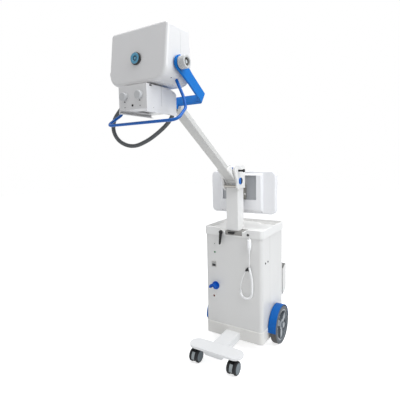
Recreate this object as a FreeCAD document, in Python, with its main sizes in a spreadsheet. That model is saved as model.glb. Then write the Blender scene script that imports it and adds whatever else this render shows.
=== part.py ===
"""Mobile x-ray machine: a wheeled cabinet, a square mast with a balanced arm, and a tube head
in a fork with its collimator. Lengths are in millimetres and angles in degrees.

The machine stands on Z = 0 and faces -Y, +X is its left-right axis and X = 0 its middle plane.
Y is counted from the cabinet's centre in this file, and the finished pieces are moved along Y
by origin_y, so that the origin lies under the middle of the whole machine.
"""
import FreeCAD, Part
import math
import os
import Sketcher

Vector = FreeCAD.Vector
Rotation = FreeCAD.Rotation
Placement = FreeCAD.Placement

DRIVING = {
    "shell_width": 404.0,
    "shell_depth": 390.0,
    "shell_sheet": 2.0,
    "shell_corner": 22.0,
    "shell_bottom": 140.0,
    "seam_back": 136.0,
    "seam_gap": 1.2,
    "cover_lap_side": 6.5,
    "cover_lap_end": 4.5,
    "cover_wall": 3.5,
    "rim_width": 9.0,
    "cover_height": 53.0,
    "cover_top": 800.0,
    "cover_corner": 24.0,
    "cover_edge_round": 4.0,
    "tray_depth": 19.0,
    "tray_floor": 4.0,
    "recess_length": 120.0,
    "recess_width": 62.0,
    "recess_depth": 8.0,
    "recess_side": 44.0,
    "recess_back": 26.0,
    "scoop_depth": 17.5,
    "scoop_left": 78.0,
    "scoop_right": 88.0,
    "scoop_slope": 26.0,
    "window_left": 52.0,
    "window_right": 70.0,
    "window_low": 755.0,
    "skirt_bottom": 62.0,
    "skirt_top": 144.0,
    "skirt_wall": 3.5,
    "skirt_foot_round": 3.0,
    "chassis_thickness": 8.0,
    "chassis_inset": 14.0,
    "post_size": 20.0,
    "mast_post_x": 36.0,
    "axle_block": 16.0,
    "power_width": 300.0,
    "power_gap": 30.0,
    "power_height": 165.0,
    "slot_count": 8.0,
    "slot_z": 560.0,
    "slot_pitch": 13.0,
    "slot_length": 220.0,
    "slot_height": 5.0,
    "pocket_low": 268.0,
    "pocket_high": 456.0,
    "pocket_rise": 24.0,
    "pocket_depth": 62.0,
    "pocket_sheet": 2.5,
    "pocket_overhang": 3.0,
    "pocket_chamfer": 28.0,
    "leg_width": 98.0,
    "leg_low": 64.0,
    "leg_high": 112.0,
    "plate_length": 358.0,
    "plate_width": 110.0,
    "plate_thickness": 14.0,
    "plate_ahead": 238.0,
    "plate_edge_round": 3.0,
    "channel_top_width": 172.0,
    "channel_low_width": 112.0,
    "channel_front": 35.0,
    "channel_back": 30.0,
    "channel_low": 66.0,
    "caster_x": 128.0,
    "caster_ahead": 11.0,
    "caster_diameter": 80.0,
    "caster_width": 64.0,
    "caster_tyre": 19.0,
    "caster_trail": 12.0,
    "caster_hood_gap": 0.5,
    "caster_hood_rise": 1.0,
    "caster_hood_low": 22.0,
    "caster_cap_radius": 33.0,
    "caster_axle_radius": 4.0,
    "caster_stem_radius": 6.0,
    "caster_collar_radius": 19.0,
    "caster_collar_height": 12.0,
    "running_gap": 0.3,
    "bore_gap": 0.05,
    "wheel_diameter": 250.0,
    "wheel_width": 46.0,
    "wheel_clearance": 8.5,
    "wheel_ahead": 171.0,
    "tyre_depth": 24.0,
    "tyre_round": 9.0,
    "rim_depth": 7.0,
    "hub_radius": 24.0,
    "hub_inset": 4.0,
    "web_thickness": 16.0,
    "axle_radius": 10.0,
    "hub_cap_radius": 19.0,
    "guard_gap": 4.5,
    "guard_sheet": 3.0,
    "guard_front_angle": 185.0,
    "guard_rear_angle": 4.0,
    "guard_flange": 26.0,
    "column_size": 85.0,
    "column_wall": 4.0,
    "column_back_set": 43.0,
    "column_top": 1062.0,
    "column_corner": 5.0,
    "column_floor": 6.0,
    "bracket_low": 750.0,
    "bracket_top": 783.0,
    "turntable_gap": 0.3,
    "turntable_height": 4.7,
    "turntable_radius": 41.0,
    "shaft_radius": 17.0,
    "spigot_drop": 8.0,
    "cheek_thickness": 10.5,
    "cheek_reach": 43.0,
    "cheek_above": 32.0,
    "cheek_below": 36.0,
    "cheek_overlap": 4.0,
    "cheek_round": 26.0,
    "cheek_nose": 55.0,
    "pivot_ahead": 30.0,
    "pivot_z": 1106.0,
    "pivot_radius": 10.0,
    "cap_radius": 21.0,
    "cap_thickness": 7.0,
    "plunger_ahead": 52.0,
    "plunger_z": 1172.0,
    "plunger_pin_radius": 4.0,
    "plunger_body_radius": 6.5,
    "plunger_knob_radius": 10.0,
    "plunger_reach": 42.0,
    "stop_radius": 9.0,
    "stop_ahead": 62.0,
    "stop_z": 1074.0,
    "spring_radius": 24.0,
    "spring_length": 180.0,
    "spring_rod": 8.0,
    "arm_elevation": 33.7,
    "arm_width": 58.0,
    "arm_depth": 31.0,
    "arm_wall": 3.0,
    "arm_length": 719.0,
    "arm_start": 32.0,
    "arm_plug": 12.0,
    "arm_corner": 4.0,
    "root_width": 76.0,
    "root_radius": 25.0,
    "root_length": 150.0,
    "root_height": 62.0,
    "wrist_radius": 26.0,
    "wrist_shaft_radius": 12.0,
    "wrist_shaft_length": 40.0,
    "wrist_nut_radius": 18.0,
    "wrist_nut_height": 11.0,
    "wrist_gap": 30.0,
    "yoke_bar": 50.0,
    "yoke_thickness": 9.0,
    "yoke_offset": 214.0,
    "yoke_width": 342.0,
    "yoke_eye_radius": 32.0,
    "yoke_bend": 12.0,
    "yoke_taper": 90.0,
    "head_width": 311.0,
    "head_below": 76.3,
    "head_above": 158.0,
    "head_front_low": 86.0,
    "head_front_high": 56.0,
    "head_back_low": 112.0,
    "head_back_high": 98.0,
    "head_top_corner": 16.0,
    "head_low_corner": 60.0,
    "head_edge_round": 13.0,
    "head_wall": 3.0,
    "head_parting": 25.0,
    "head_parting_gap": 0.8,
    "trunnion_radius": 14.0,
    "trunnion_flange": 24.0,
    "knob_radius": 27.0,
    "knob_length": 33.0,
    "tube_radius": 52.0,
    "tube_length": 250.0,
    "port_radius": 34.0,
    "boss_rise": 27.7,
    "boss_radius": 25.0,
    "boss_height": 13.0,
    "boss_recess": 11.0,
    "gland_radius": 12.0,
    "gland_length": 16.0,
    "gland_lean": 41.0,
    "gland_y": 52.0,
    "yoke_gland_x": 28.0,
    "yoke_gland_length": 22.0,
    "beam_offset": -5.0,
    "collimator_width": 153.0,
    "collimator_depth": 202.0,
    "collimator_height": 99.0,
    "neck_length": 8.0,
    "collimator_wall": 2.5,
    "panel_thickness": 4.0,
    "panel_round": 1.5,
    "collimator_drop": 18.0,
    "collimator_run": 76.0,
    "collimator_round": 2.0,
    "collimator_base": 6.0,
    "neck_radius": 46.0,
    "aperture": 80.0,
    "window_sheet": 3.0,
    "rail_inset": 0.5,
    "rail_width": 13.0,
    "rail_drop": 12.0,
    "rail_lip": 3.0,
    "rail_sheet": 2.5,
    "rail_overhang": 6.0,
    "dial_radius": 17.5,
    "dial_length": 16.0,
    "dial_shaft": 4.0,
    "dial_middle": -2.0,
    "dial_spread": 41.0,
    "dial_rise": 55.0,
    "leaf_thickness": 3.0,
    "leaf_width": 104.0,
    "leaf_length": 36.0,
    "leaf_opening": 30.0,
    "light_button_radius": 4.5,
    "light_button_rise": 17.0,
    "handle_radius": 6.5,
    "handle_top_x": 132.0,
    "handle_seat": 24.0,
    "handle_waist_x": 167.0,
    "handle_waist_drop": 51.0,
    "handle_knee_x": 181.0,
    "handle_knee_drop": 102.0,
    "handle_leg_y": 17.0,
    "handle_front_x": 197.0,
    "handle_reach": 66.0,
    "handle_front_drop": 158.0,
    "handle_bend": 26.0,
    "console_width": 468.0,
    "console_height": 284.0,
    "console_z": 1021.0,
    "console_back_reach": 112.0,
    "console_back_depth": 20.0,
    "console_depth": 40.0,
    "console_corner": 34.0,
    "console_back_round": 9.0,
    "console_front_round": 5.0,
    "console_wall": 3.0,
    "console_hump": 14.0,
    "hump_left": 166.0,
    "hump_right": 151.0,
    "hump_margin": 15.0,
    "recess_left": 140.0,
    "recess_right": 106.0,
    "recess_low": 972.0,
    "recess_high": 1134.0,
    "console_recess": 9.0,
    "screen_width": 340.0,
    "screen_height": 214.0,
    "screen_depth": 4.0,
    "screen_edge": 8.0,
    "lug_half": 28.0,
    "hinge_sheet": 5.0,
    "hinge_low": 974.0,
    "hinge_high": 1074.0,
    "tilt_z": 1012.0,
    "tilt_reach": 80.0,
    "tilt_pin_radius": 6.0,
    "tilt_pin_half": 36.0,
    "lamp_x": -132.0,
    "small_lamp_rise": 140.0,
    "lamp_rise": 82.0,
    "small_lamp_radius": 2.5,
    "lamp_radius": 6.0,
    "lamp_bore_share": 0.7,
    "rocker_x": -139.0,
    "rocker_z": 546.0,
    "bezel_width": 37.0,
    "bezel_height": 40.0,
    "bezel_depth": 3.0,
    "bezel_round": 2.0,
    "rocker_width": 27.0,
    "rocker_height": 30.0,
    "rocker_gap": 0.5,
    "hook_x": -128.0,
    "hook_drop": 146.0,
    "hook_back_radius": 27.0,
    "hook_front_radius": 24.0,
    "hook_core_radius": 15.0,
    "hook_wall": 4.0,
    "hook_open": 5.0,
    "hook_flange": 4.0,
    "hook_length": 52.0,
    "lock_x": -140.0,
    "lock_drop": 218.0,
    "lock_radius": 13.0,
    "lever_x": -73.0,
    "lever_z": 773.0,
    "lever_hub_radius": 12.0,
    "lever_length": 84.0,
    "boss_pin_radius": 9.0,
    "boss_pin_length": 7.0,
    "lock_knob_x": -4.0,
    "lock_knob_z": 772.0,
    "lock_knob_width": 42.0,
    "lock_knob_height": 12.0,
    "lock_knob_depth": 12.0,
    "knob_shaft_radius": 4.0,
    "knob_shaft_gap": 1.0,
    "stud_x": 112.0,
    "stud_z": 768.0,
    "stud_radius": 8.0,
    "handset_x": 124.0,
    "handset_top": 744.0,
    "handset_length": 76.0,
    "handset_radius": 14.0,
    "handset_gap": 4.0,
    "handset_tail": 14.0,
    "button_radius": 6.0,
    "button_stem": 7.0,
    "button_travel": 3.0,
    "button_play": 0.1,
    "clip_half": 9.0,
    "clip_z": 702.0,
    "clip_height": 14.0,
    "plug_x": 112.0,
    "plug_z": 548.0,
    "plug_radius": 8.0,
    "plug_length": 20.0,
    "plug_neck_radius": 5.0,
    "plug_neck_length": 16.0,
    "plug_neck_back": 4.0,
    "lead_radius": 2.2,
    "curly_radius": 5.5,
    "hose_radius": 8.0,
}

doc = FreeCAD.newDocument("mobile_xray_machine")
sheet = doc.addObject("Spreadsheet::Sheet", "Sizes")
for row, (name, value) in enumerate(DRIVING.items(), start=1):
    sheet.set(f"A{row}", name)
    sheet.set(f"B{row}", str(value))
    sheet.setAlias(f"B{row}", name)
doc.recompute()


class Size:
    """A number together with the sheet formula that gives it."""

    def __init__(self, value, formula):
        self.value = value
        self.formula = formula

    def join(self, other, sign, result):
        return Size(result, f"({self.formula} {sign} {formula_of(other)})")

    def __add__(self, other):
        return self.join(other, "+", self.value + number(other))

    def __radd__(self, other):
        return as_size(other) + self

    def __sub__(self, other):
        return self.join(other, "-", self.value - number(other))

    def __rsub__(self, other):
        return as_size(other) - self

    def __mul__(self, other):
        return self.join(other, "*", self.value * number(other))

    def __rmul__(self, other):
        return as_size(other) * self

    def __truediv__(self, other):
        return self.join(other, "/", self.value / number(other))

    def __neg__(self):
        return Size(-self.value, f"(0 - {self.formula})")

    def whole(self):
        return round(self.value)


def number(value):
    return value.value if isinstance(value, Size) else float(value)


def formula_of(value):
    return value.formula if isinstance(value, Size) else f"({value})"


def as_size(value):
    return value if isinstance(value, Size) else Size(float(value), f"({value})")


def cosine(angle):
    return Size(math.cos(math.radians(number(angle))), f"cos({formula_of(angle)})")


def sine(angle):
    return Size(math.sin(math.radians(number(angle))), f"sin({formula_of(angle)})")


class Sheet:
    """Gives each driving value by its name, as S.cover_top."""

    def __getattr__(self, name):
        return Size(DRIVING[name], f"Sizes.{name}")


S = Sheet()


def bind(target, **values):
    """Set numeric properties and tie them to the sheet."""
    for prop, value in values.items():
        setattr(target, prop, number(value))
        if isinstance(value, Size):
            target.setExpression(prop, value.formula)


def place(target, x=0, y=0, z=0, axis=None, angle=0):
    """Put an object at a point that follows the sheet, turned about one axis."""
    turn = Rotation(Vector(*axis), number(angle)) if axis else Rotation()
    target.Placement = Placement(Vector(number(x), number(y), number(z)), turn)
    for letter, value in zip("xyz", (x, y, z)):
        if isinstance(value, Size):
            target.setExpression(f"Placement.Base.{letter}", value.formula)
    if isinstance(angle, Size):
        target.setExpression("Placement.Rotation.Angle", angle.formula)
    return target


# The sketch planes of a body, and the sign that turns a place along the world axis into an offset
PLANES = {"XY": ("XY_Plane", 1), "XZ": ("XZ_Plane", -1), "YZ": ("YZ_Plane", 1)}


class Drawing:
    """A sketch on one of its own body's planes, with every size tied to the sheet."""

    def __init__(self, body, plane, at=0):
        role, sign = PLANES[plane]
        self.sketch = body.newObject("Sketcher::SketchObject", f"{body.Name}_sketch")
        support = next(f for f in body.Origin.OriginFeatures if f.Role == role)
        self.sketch.AttachmentSupport = [(support, "")]
        self.sketch.MapMode = "FlatFace"
        offset = at * sign if isinstance(at, Size) else as_size(at * sign)
        self.sketch.AttachmentOffset = Placement(Vector(0, 0, offset.value), Rotation())
        self.sketch.setExpression("AttachmentOffset.Base.z", offset.formula)

    def tie(self, kind, *places, value):
        index = self.sketch.addConstraint(Sketcher.Constraint(kind, *places, number(value)))
        if isinstance(value, Size):
            self.sketch.setExpression(f"Constraints[{index}]", value.formula)

    def tie_point(self, geometry, which, x, y):
        self.tie("DistanceX", -1, 1, geometry, which, value=x)
        self.tie("DistanceY", -1, 1, geometry, which, value=y)

    def circle(self, x, y, radius):
        centre = Vector(number(x), number(y), 0)
        index = self.sketch.addGeometry(Part.Circle(centre, Vector(0, 0, 1), number(radius)), False)
        self.tie_point(index, 3, x, y)
        self.tie("Radius", index, value=radius)
        return self

    def polygon(self, *points):
        corners = [Vector(number(x), number(y), 0) for x, y in points]
        count = len(corners)
        first = self.sketch.GeometryCount
        for k in range(count):
            self.sketch.addGeometry(Part.LineSegment(corners[k], corners[(k + 1) % count]), False)
        for k in range(count):
            here, following = first + k, first + (k + 1) % count
            self.sketch.addConstraint(Sketcher.Constraint("Coincident", here, 2, following, 1))
        for k, (x, y) in enumerate(points):
            self.tie_point(first + k, 1, x, y)
        return self

    def rectangle(self, x0, y0, x1, y1):
        return self.polygon((x0, y0), (x1, y0), (x1, y1), (x0, y1))


class Piece:
    """A PartDesign body whose features are made between two places along a world axis."""

    def __init__(self, name):
        self.body = doc.addObject("PartDesign::Body", name)
        self.name = name

    def draw(self, plane, at=0):
        return Drawing(self.body, plane, at)

    def feature(self, kind, drawing, **sizes):
        made = self.body.newObject(f"PartDesign::{kind}", f"{self.name}_{kind.lower()}")
        made.Profile = drawing.sketch
        bind(made, **sizes)
        return made

    def slab(self, plane, low, high, outline):
        """Material between low and high along the plane's axis."""
        drawing = self.draw(plane, high if plane == "XZ" else low)
        outline(drawing)
        self.feature("Pad", drawing, Length=as_size(high) - low)
        return self

    def cut(self, plane, low, high, outline):
        """Room between low and high along the plane's axis."""
        drawing = self.draw(plane, low if plane == "XZ" else high)
        outline(drawing)
        self.feature("Pocket", drawing, Length=as_size(high) - low)
        return self

    def turned(self, *profile):
        """A solid of revolution about Z from (radius, height) points."""
        drawing = self.draw("XZ")
        drawing.polygon(*profile)
        made = self.feature("Revolution", drawing)
        made.ReferenceAxis = (drawing.sketch, ["V_Axis"])
        made.Angle = 360
        return self

    def ring_of(self, feature, count):
        """Repeat the last feature round Z."""
        pattern = self.body.newObject("PartDesign::PolarPattern", f"{self.name}_ring")
        pattern.Originals = [feature]
        axis = next(f for f in self.body.Origin.OriginFeatures if f.Role == "Z_Axis")
        pattern.Axis = (axis, [""])
        pattern.Angle = 360
        pattern.Occurrences = count
        self.body.Tip = pattern
        return self

    def edges(self, chosen):
        doc.recompute()
        return [f"Edge{k}" for k, e in enumerate(self.body.Shape.Edges, start=1) if chosen(e)]

    def round(self, radius, chosen, kind="Fillet"):
        """Fillet or chamfer the edges that the test picks out."""
        names = self.edges(chosen)
        tip = self.body.Tip
        made = self.body.newObject(f"PartDesign::{kind}", f"{self.name}_{kind.lower()}")
        made.Base = (tip, names)
        bind(made, **{"Radius" if kind == "Fillet" else "Size": radius})
        return self


def along(axis):
    """Picks the straight edges that run along one world axis."""
    want = Vector(*axis)

    def chosen(edge):
        if edge.Curve.TypeId != "Part::GeomLine":
            return False
        return abs(edge.tangentAt(edge.FirstParameter).dot(want)) > 0.9999

    return chosen


def level(z):
    """Picks the edges that lie in one horizontal plane."""
    height = number(z)
    return lambda edge: abs(edge.BoundBox.ZMin - height) < 1e-4 and abs(edge.BoundBox.ZMax - height) < 1e-4


def both(first, second):
    return lambda edge: first(edge) and second(edge)


def box(name, x0, x1, y0, y1, z0, z1):
    """A plain block between two corners, tied to the sheet."""
    made = doc.addObject("Part::Box", name)
    bind(made, Length=as_size(x1) - x0, Width=as_size(y1) - y0, Height=as_size(z1) - z0)
    return place(made, x0, y0, z0)


def cylinder(name, radius, start, length, axis="Z"):
    """A round bar from a start point along +X, +Y or +Z."""
    made = doc.addObject("Part::Cylinder", name)
    bind(made, Radius=radius, Height=length)
    turns = {"X": ((0, 1, 0), 90), "Y": ((1, 0, 0), -90), "Z": (None, 0)}
    direction, angle = turns[axis]
    return place(made, *start, axis=direction, angle=angle)


def cut(name, base, *tools):
    """The base with each tool taken out of it."""
    made = doc.addObject("Part::Cut", name)
    made.Base = base
    made.Tool = tools[0] if len(tools) == 1 else fuse(f"{name}_room", *tools)
    return made


def fuse(name, *parts):
    made = doc.addObject("Part::MultiFuse", name)
    made.Shapes = list(parts)
    return made


def common(name, first, second):
    made = doc.addObject("Part::MultiCommon", name)
    made.Shapes = [first, second]
    return made


def group(name, *parts):
    """Separate solids of one kind in one node."""
    made = doc.addObject("Part::Compound", name)
    made.Links = list(parts)
    return made


NODES = {}


def node(name, made, x=0, y=0, z=0, axis=None, angle=0):
    """Give a finished sub-part its name and its place in the machine's own frame."""
    target = made.body if isinstance(made, Piece) else made
    target.Label = name
    place(target, x, y + origin_y, z, axis, angle)
    NODES[name] = target
    return target


def node_block(name, block):
    """A finished block keeps its own corner and moves to the machine's frame."""
    corner = block.Placement.Base
    block.Label = name
    block.Placement.Base = Vector(corner.x, corner.y + number(origin_y), corner.z)
    formula = dict(block.ExpressionEngine).get("Placement.Base.y")
    block.setExpression("Placement.Base.y", f"{formula or corner.y} + {origin_y.formula}")
    NODES[name] = block
    return block


def turned_part(name, *profile):
    """A body turned about Z from a (radius, height) profile."""
    return Piece(name).turned(*profile).body


def half(size):
    return size / 2


def turn_radius(before, corner, after):
    """The largest arc that fits a corner of a cord: 0.45 of its shorter run."""
    run_in, run_out = corner - before, after - corner
    turn = run_in.getAngle(run_out)
    return 0.45 * min(run_in.Length, run_out.Length) / math.tan(turn / 2)


def bent_path(points, bend=None):
    """Straight runs joined by tangent arcs, as a wire and the radii of its arcs."""
    corners = [Vector(*[number(c) for c in p]) for p in points]
    edges, radii, start = [], [], corners[0]
    for before, corner, after in zip(corners, corners[1:], corners[2:]):
        radius = number(bend) if bend is not None else turn_radius(before, corner, after)
        into, out = (corner - before).normalize(), (after - corner).normalize()
        turn = into.getAngle(out)
        back = radius * math.tan(turn / 2)
        first, last = corner - into * back, corner + out * back
        inward = (out - into).normalize()
        middle = corner + inward * (radius / math.cos(turn / 2) - radius)
        if (first - start).Length > 1e-6:
            edges.append(Part.LineSegment(start, first).toShape())
        edges.append(Part.Arc(first, middle, last).toShape())
        radii.append(radius)
        start = last
    edges.append(Part.LineSegment(start, corners[-1]).toShape())
    return Part.Wire(edges), radii


def tube(name, points, radius, bend=None):
    """A round bar that follows a bent path."""
    path, radii = bent_path(points, bend)
    first = path.Edges[0]
    start, heading = first.valueAt(first.FirstParameter), first.tangentAt(first.FirstParameter)
    profile = Part.Wire([Part.makeCircle(number(radius), start, heading)])
    made = doc.addObject("Part::Feature", name)
    made.Shape = path.makePipeShell([profile], True, False)
    due = math.pi * number(radius) ** 2 * path.Length
    print(f"{name}: length {path.Length:.1f} mm, volume {made.Shape.Volume / due:.4f} of section x length,"
          f" radii {[round(r) for r in radii]}")
    return made


# Places that several sub-parts share
cover_width = S.shell_width + S.cover_lap_side * 2
cover_depth = S.shell_depth + S.cover_lap_end * 2
cover_low = S.cover_top - S.cover_height
tray_z = S.cover_top - S.tray_depth
shell_top = tray_z - S.tray_floor
front_y = -half(S.shell_depth)
rear_y = half(S.shell_depth)
seam_y = front_y + S.seam_back
cover_front_y = -half(cover_depth)
skirt_width = S.shell_width + S.skirt_wall * 2
skirt_depth = S.shell_depth + S.skirt_wall * 2
pocket_width = S.shell_width + S.pocket_overhang * 2
floor_top = S.skirt_bottom + S.skirt_wall + S.chassis_thickness
wheel_radius = half(S.wheel_diameter)
wheel_track = skirt_width + S.wheel_width + S.wheel_clearance * 2
wheel_y = rear_y - S.wheel_ahead
plate_y = front_y - S.plate_ahead
caster_y = plate_y - S.caster_ahead
plate_low = S.leg_high - S.plate_thickness
beam_end = plate_y + half(S.plate_width)
column_y = front_y + S.column_back_set
column_half = half(S.column_size)
column_back = column_y + column_half
column_low = S.bracket_top + S.turntable_gap + S.turntable_height
fork_x = column_half + S.cheek_thickness
pivot_y = column_y - S.pivot_ahead
plunger_y = column_y - S.plunger_ahead
stop_y = column_y - S.stop_ahead
console_back_y = column_y + S.console_back_reach
console_parting_y = console_back_y + S.console_back_depth
console_front_y = console_back_y + S.console_depth
tilt_y = column_y + S.tilt_reach
arm_cos = cosine(S.arm_elevation)
arm_sin = sine(S.arm_elevation)
crossbar = S.arm_length + S.wrist_gap
head_distance = crossbar + S.yoke_offset
yoke_inner = half(S.yoke_width) - S.yoke_thickness
head_y = pivot_y - head_distance * arm_cos
head_z = S.pivot_z + head_distance * arm_sin
head_low = head_z - S.head_below
head_high = head_z + S.head_above
boss_z = head_z + S.boss_rise
collimator_high = head_low - S.neck_length
collimator_low = collimator_high - S.collimator_height
dial_z = collimator_low + S.dial_rise
light_button_z = collimator_low + S.light_button_rise
handle_waist_z = head_low - S.handle_waist_drop
handle_knee_z = head_low - S.handle_knee_drop
handle_front_z = head_low - S.handle_front_drop
beam_y = head_y + S.beam_offset
collimator_front_y = beam_y - half(S.collimator_depth)
small_lamp_z = S.rocker_z + S.small_lamp_rise
lamp_z = S.rocker_z + S.lamp_rise
hook_z = S.rocker_z - S.hook_drop
lock_z = S.rocker_z - S.lock_drop
front_reach = collimator_front_y - S.dial_length
rear_reach = rear_y + S.pocket_depth
origin_y = -(front_reach + rear_reach) / 2


def rounded_block(name, width, depth, low, high, corner):
    """An upright block centred on the cabinet, with round vertical corners."""
    piece = Piece(name)
    piece.slab("XY", low, high, lambda d: d.rectangle(-half(width), -half(depth), half(width), half(depth)))
    return piece.round(corner, along((0, 0, 1)))


def make_base_tray():
    """The moulded skirt and the welded chassis that stands in it."""
    outer = rounded_block("skirt_outer", skirt_width, skirt_depth, S.skirt_bottom, S.skirt_top,
                          S.shell_corner + S.skirt_wall)
    outer.round(S.skirt_wall * 0.6, level(S.skirt_top))
    outer.round(S.skirt_foot_round, level(S.skirt_bottom))
    inner = rounded_block("skirt_inner", S.shell_width, S.shell_depth, S.skirt_bottom + S.skirt_wall,
                          S.skirt_top + 1, S.shell_corner)
    axle_room = cylinder("skirt_axle_hole", S.axle_radius, (-half(skirt_width) - 1, wheel_y, wheel_radius),
                         skirt_width + 2, "X")
    node("base_skirt", cut("skirt", outer.body, inner.body, axle_room))

    # steel floor plate, four corner posts for the covers, two mast posts and the axle's block
    plate_x = half(S.shell_width) - S.chassis_inset
    plate_y = half(S.shell_depth) - S.chassis_inset
    floor = box("chassis_floor", -plate_x, plate_x, -plate_y, plate_y, floor_top - S.chassis_thickness, floor_top)
    parts = [floor]
    post = half(S.post_size)
    for side_x in (-1, 1):
        for side_y in (-1, 1):
            x = (plate_x - post) * side_x
            y = (plate_y - post) * side_y
            parts.append(box("corner_post", x - post, x + post, y - post, y + post, floor_top - 1, shell_top))
    for side in (-1, 1):
        x = S.mast_post_x * side
        parts.append(box("mast_post", x - post, x + post, -plate_y, -plate_y + S.post_size * 2,
                         floor_top - 1, S.bracket_low))
    parts.append(box("axle_block", -plate_x, plate_x, wheel_y - S.axle_block, wheel_y + S.axle_block,
                     floor_top - 1, wheel_radius + S.axle_block))
    axle_end = half(wheel_track) + half(S.wheel_width) + 4
    parts.append(cylinder("axle_bar", S.axle_radius, (-axle_end, wheel_y, wheel_radius), axle_end * 2, "X"))
    for side in (-1, 1):
        collar_in = half(skirt_width)
        collar_out = half(wheel_track) - half(S.wheel_width) + S.hub_inset - 0.3
        start = collar_in if side > 0 else -collar_out
        parts.append(cylinder("axle_collar", S.axle_radius + 5, (start, wheel_y, wheel_radius),
                              collar_out - collar_in, "X"))
    node("chassis", fuse("chassis_weldment", *parts))

    # transformer and capacitor block low behind the axle, which also balances the head
    block_front = wheel_y + S.axle_block + 5
    block_back = rear_y - S.power_gap
    block = box("power_block", -half(S.power_width), half(S.power_width), block_front, block_back,
                floor_top, floor_top + S.power_height)
    fins = [block]
    for k in range(5):
        fin_y = block_front + (block_back - block_front) / 5 * k + 6
        fins.append(box("power_fin", -half(S.power_width) + 10, half(S.power_width) - 10, fin_y, fin_y + 4,
                        floor_top + S.power_height - 1, floor_top + S.power_height + 18))
    node("power_module", fuse("power_core", *fins))


def make_covers():
    """Front and rear sheet covers, the tray cover and the cassette pocket."""
    skin = rounded_block("skin_outer", S.shell_width, S.shell_depth, S.shell_bottom, shell_top, S.shell_corner)
    room = rounded_block("skin_inner", S.shell_width - S.shell_sheet * 2, S.shell_depth - S.shell_sheet * 2,
                         S.shell_bottom - 1, shell_top + 1, S.shell_corner - S.shell_sheet)
    shell = cut("skin", skin.body, room.body)
    wide = half(S.shell_width) + 5
    deep = rear_y + 5
    front_half = box("front_half", -wide, wide, -deep, seam_y - half(S.seam_gap), S.shell_bottom - 2, shell_top + 2)
    rear_half = box("rear_half", -wide, wide, seam_y + half(S.seam_gap), deep, S.shell_bottom - 2, shell_top + 2)

    window = box("window_room", -S.window_left, S.window_right, cover_front_y - 5, column_back + 4,
                 S.window_low, S.cover_top + 1)
    bw, bh = half(S.bezel_width), half(S.bezel_height)
    rw, rh = half(S.rocker_width), half(S.rocker_height)
    bezel = Piece("bezel_body")
    bezel.slab("XZ", front_y - S.bezel_depth, front_y + S.shell_sheet,
               lambda d: d.rectangle(S.rocker_x - bw, S.rocker_z - bh, S.rocker_x + bw, S.rocker_z + bh))
    bezel.round(S.bezel_round, along((0, 1, 0)))
    rocker_hole = box("rocker_hole", S.rocker_x - rw, S.rocker_x + rw, front_y - S.bezel_depth - 1,
                      front_y + S.shell_sheet + 1, S.rocker_z - rh, S.rocker_z + rh)
    lock_hole = cylinder("lock_hole", S.lock_radius - 4, (S.lock_x, front_y - 1, lock_z), S.shell_sheet + 2, "Y")
    lamp_hole = cylinder("lamp_hole", S.lamp_radius * S.lamp_bore_share, (S.lamp_x, front_y - 1, lamp_z), S.shell_sheet + 2, "Y")
    small_hole = cylinder("small_lamp_hole", S.small_lamp_radius * S.lamp_bore_share, (S.lamp_x, front_y - 1, small_lamp_z),
                          S.shell_sheet + 2, "Y")
    # folded clip that holds the hand switch
    grip_y = front_y - S.handset_radius - S.handset_gap
    clip = box("clip", S.handset_x - S.clip_half, S.handset_x + S.clip_half, grip_y - 2, front_y,
               S.clip_z, S.clip_z + S.clip_height)
    grip_room = cylinder("grip_room", S.handset_radius, (S.handset_x, grip_y, S.clip_z - 1), S.clip_height + 2)
    front = fuse("front_parts", common("front_sheet", shell, front_half), bezel.body, clip)
    node("front_cover", cut("front_open", front, rocker_hole, lock_hole, lamp_hole, small_hole, window, grip_room))

    # ventilation slots in the rear sheet
    slots = []
    for k in range(S.slot_count.whole()):
        z = S.slot_z + S.slot_pitch * k
        slots.append(box("vent_slot", -half(S.slot_length), half(S.slot_length), rear_y - S.shell_sheet - 1,
                         rear_y + 1, z, z + S.slot_height))
    node("rear_cover", cut("rear_open", common("rear_sheet", shell, rear_half), *slots))

    # tray cover: a band over the sheets, a sunk tray and a front scooped for the mast
    lid = rounded_block("lid", cover_width, cover_depth, cover_low, S.cover_top, S.cover_corner)
    lid.round(S.cover_edge_round, level(S.cover_top))
    tray = rounded_block("tray_room", cover_width - S.rim_width * 2, cover_depth - S.rim_width * 2,
                         tray_z, S.cover_top + 1, S.cover_corner - S.rim_width)
    under = rounded_block("lid_room", cover_width - S.cover_wall * 2, cover_depth - S.cover_wall * 2,
                          cover_low - 1, shell_top, S.cover_corner - S.cover_wall)
    scoop = Piece("scoop")
    scoop_z = S.cover_top - S.scoop_depth
    scoop.slab("XZ", cover_front_y - 5, cover_front_y + S.rim_width + 1, lambda d: d.polygon(
        (-S.scoop_left, scoop_z), (S.scoop_right, scoop_z),
        (S.scoop_right + S.scoop_slope, S.cover_top + 2), (-S.scoop_left - S.scoop_slope, S.cover_top + 2)))
    pan_x = half(cover_width) - S.recess_side
    pan_y = half(cover_depth) - S.recess_back
    recess = box("recess_room", pan_x - S.recess_length, pan_x, pan_y - S.recess_width, pan_y,
                 tray_z - S.recess_depth, tray_z + 1)
    pan = box("recess_pan", pan_x - S.recess_length - 3, pan_x + 3, pan_y - S.recess_width - 3, pan_y + 3,
              tray_z - S.recess_depth - 3, tray_z - 1)
    stud = turned_part("stud", (0, 0), (S.stud_radius, 0), (S.stud_radius, 6), (S.stud_radius - 2, 9), (0, 9))
    place(stud, S.stud_x, cover_front_y, S.stud_z, (1, 0, 0), 90)
    boss = cylinder("lever_boss", S.boss_pin_radius, (S.lever_x, cover_front_y - S.boss_pin_length, S.lever_z),
                    S.boss_pin_length + 1, "Y")
    shell_lid = cut("lid_shell", lid.body, tray.body, under.body, scoop.body, window)
    node("top_cover", cut("lid_open", fuse("lid_pan", shell_lid, pan, stud, boss), recess))

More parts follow.
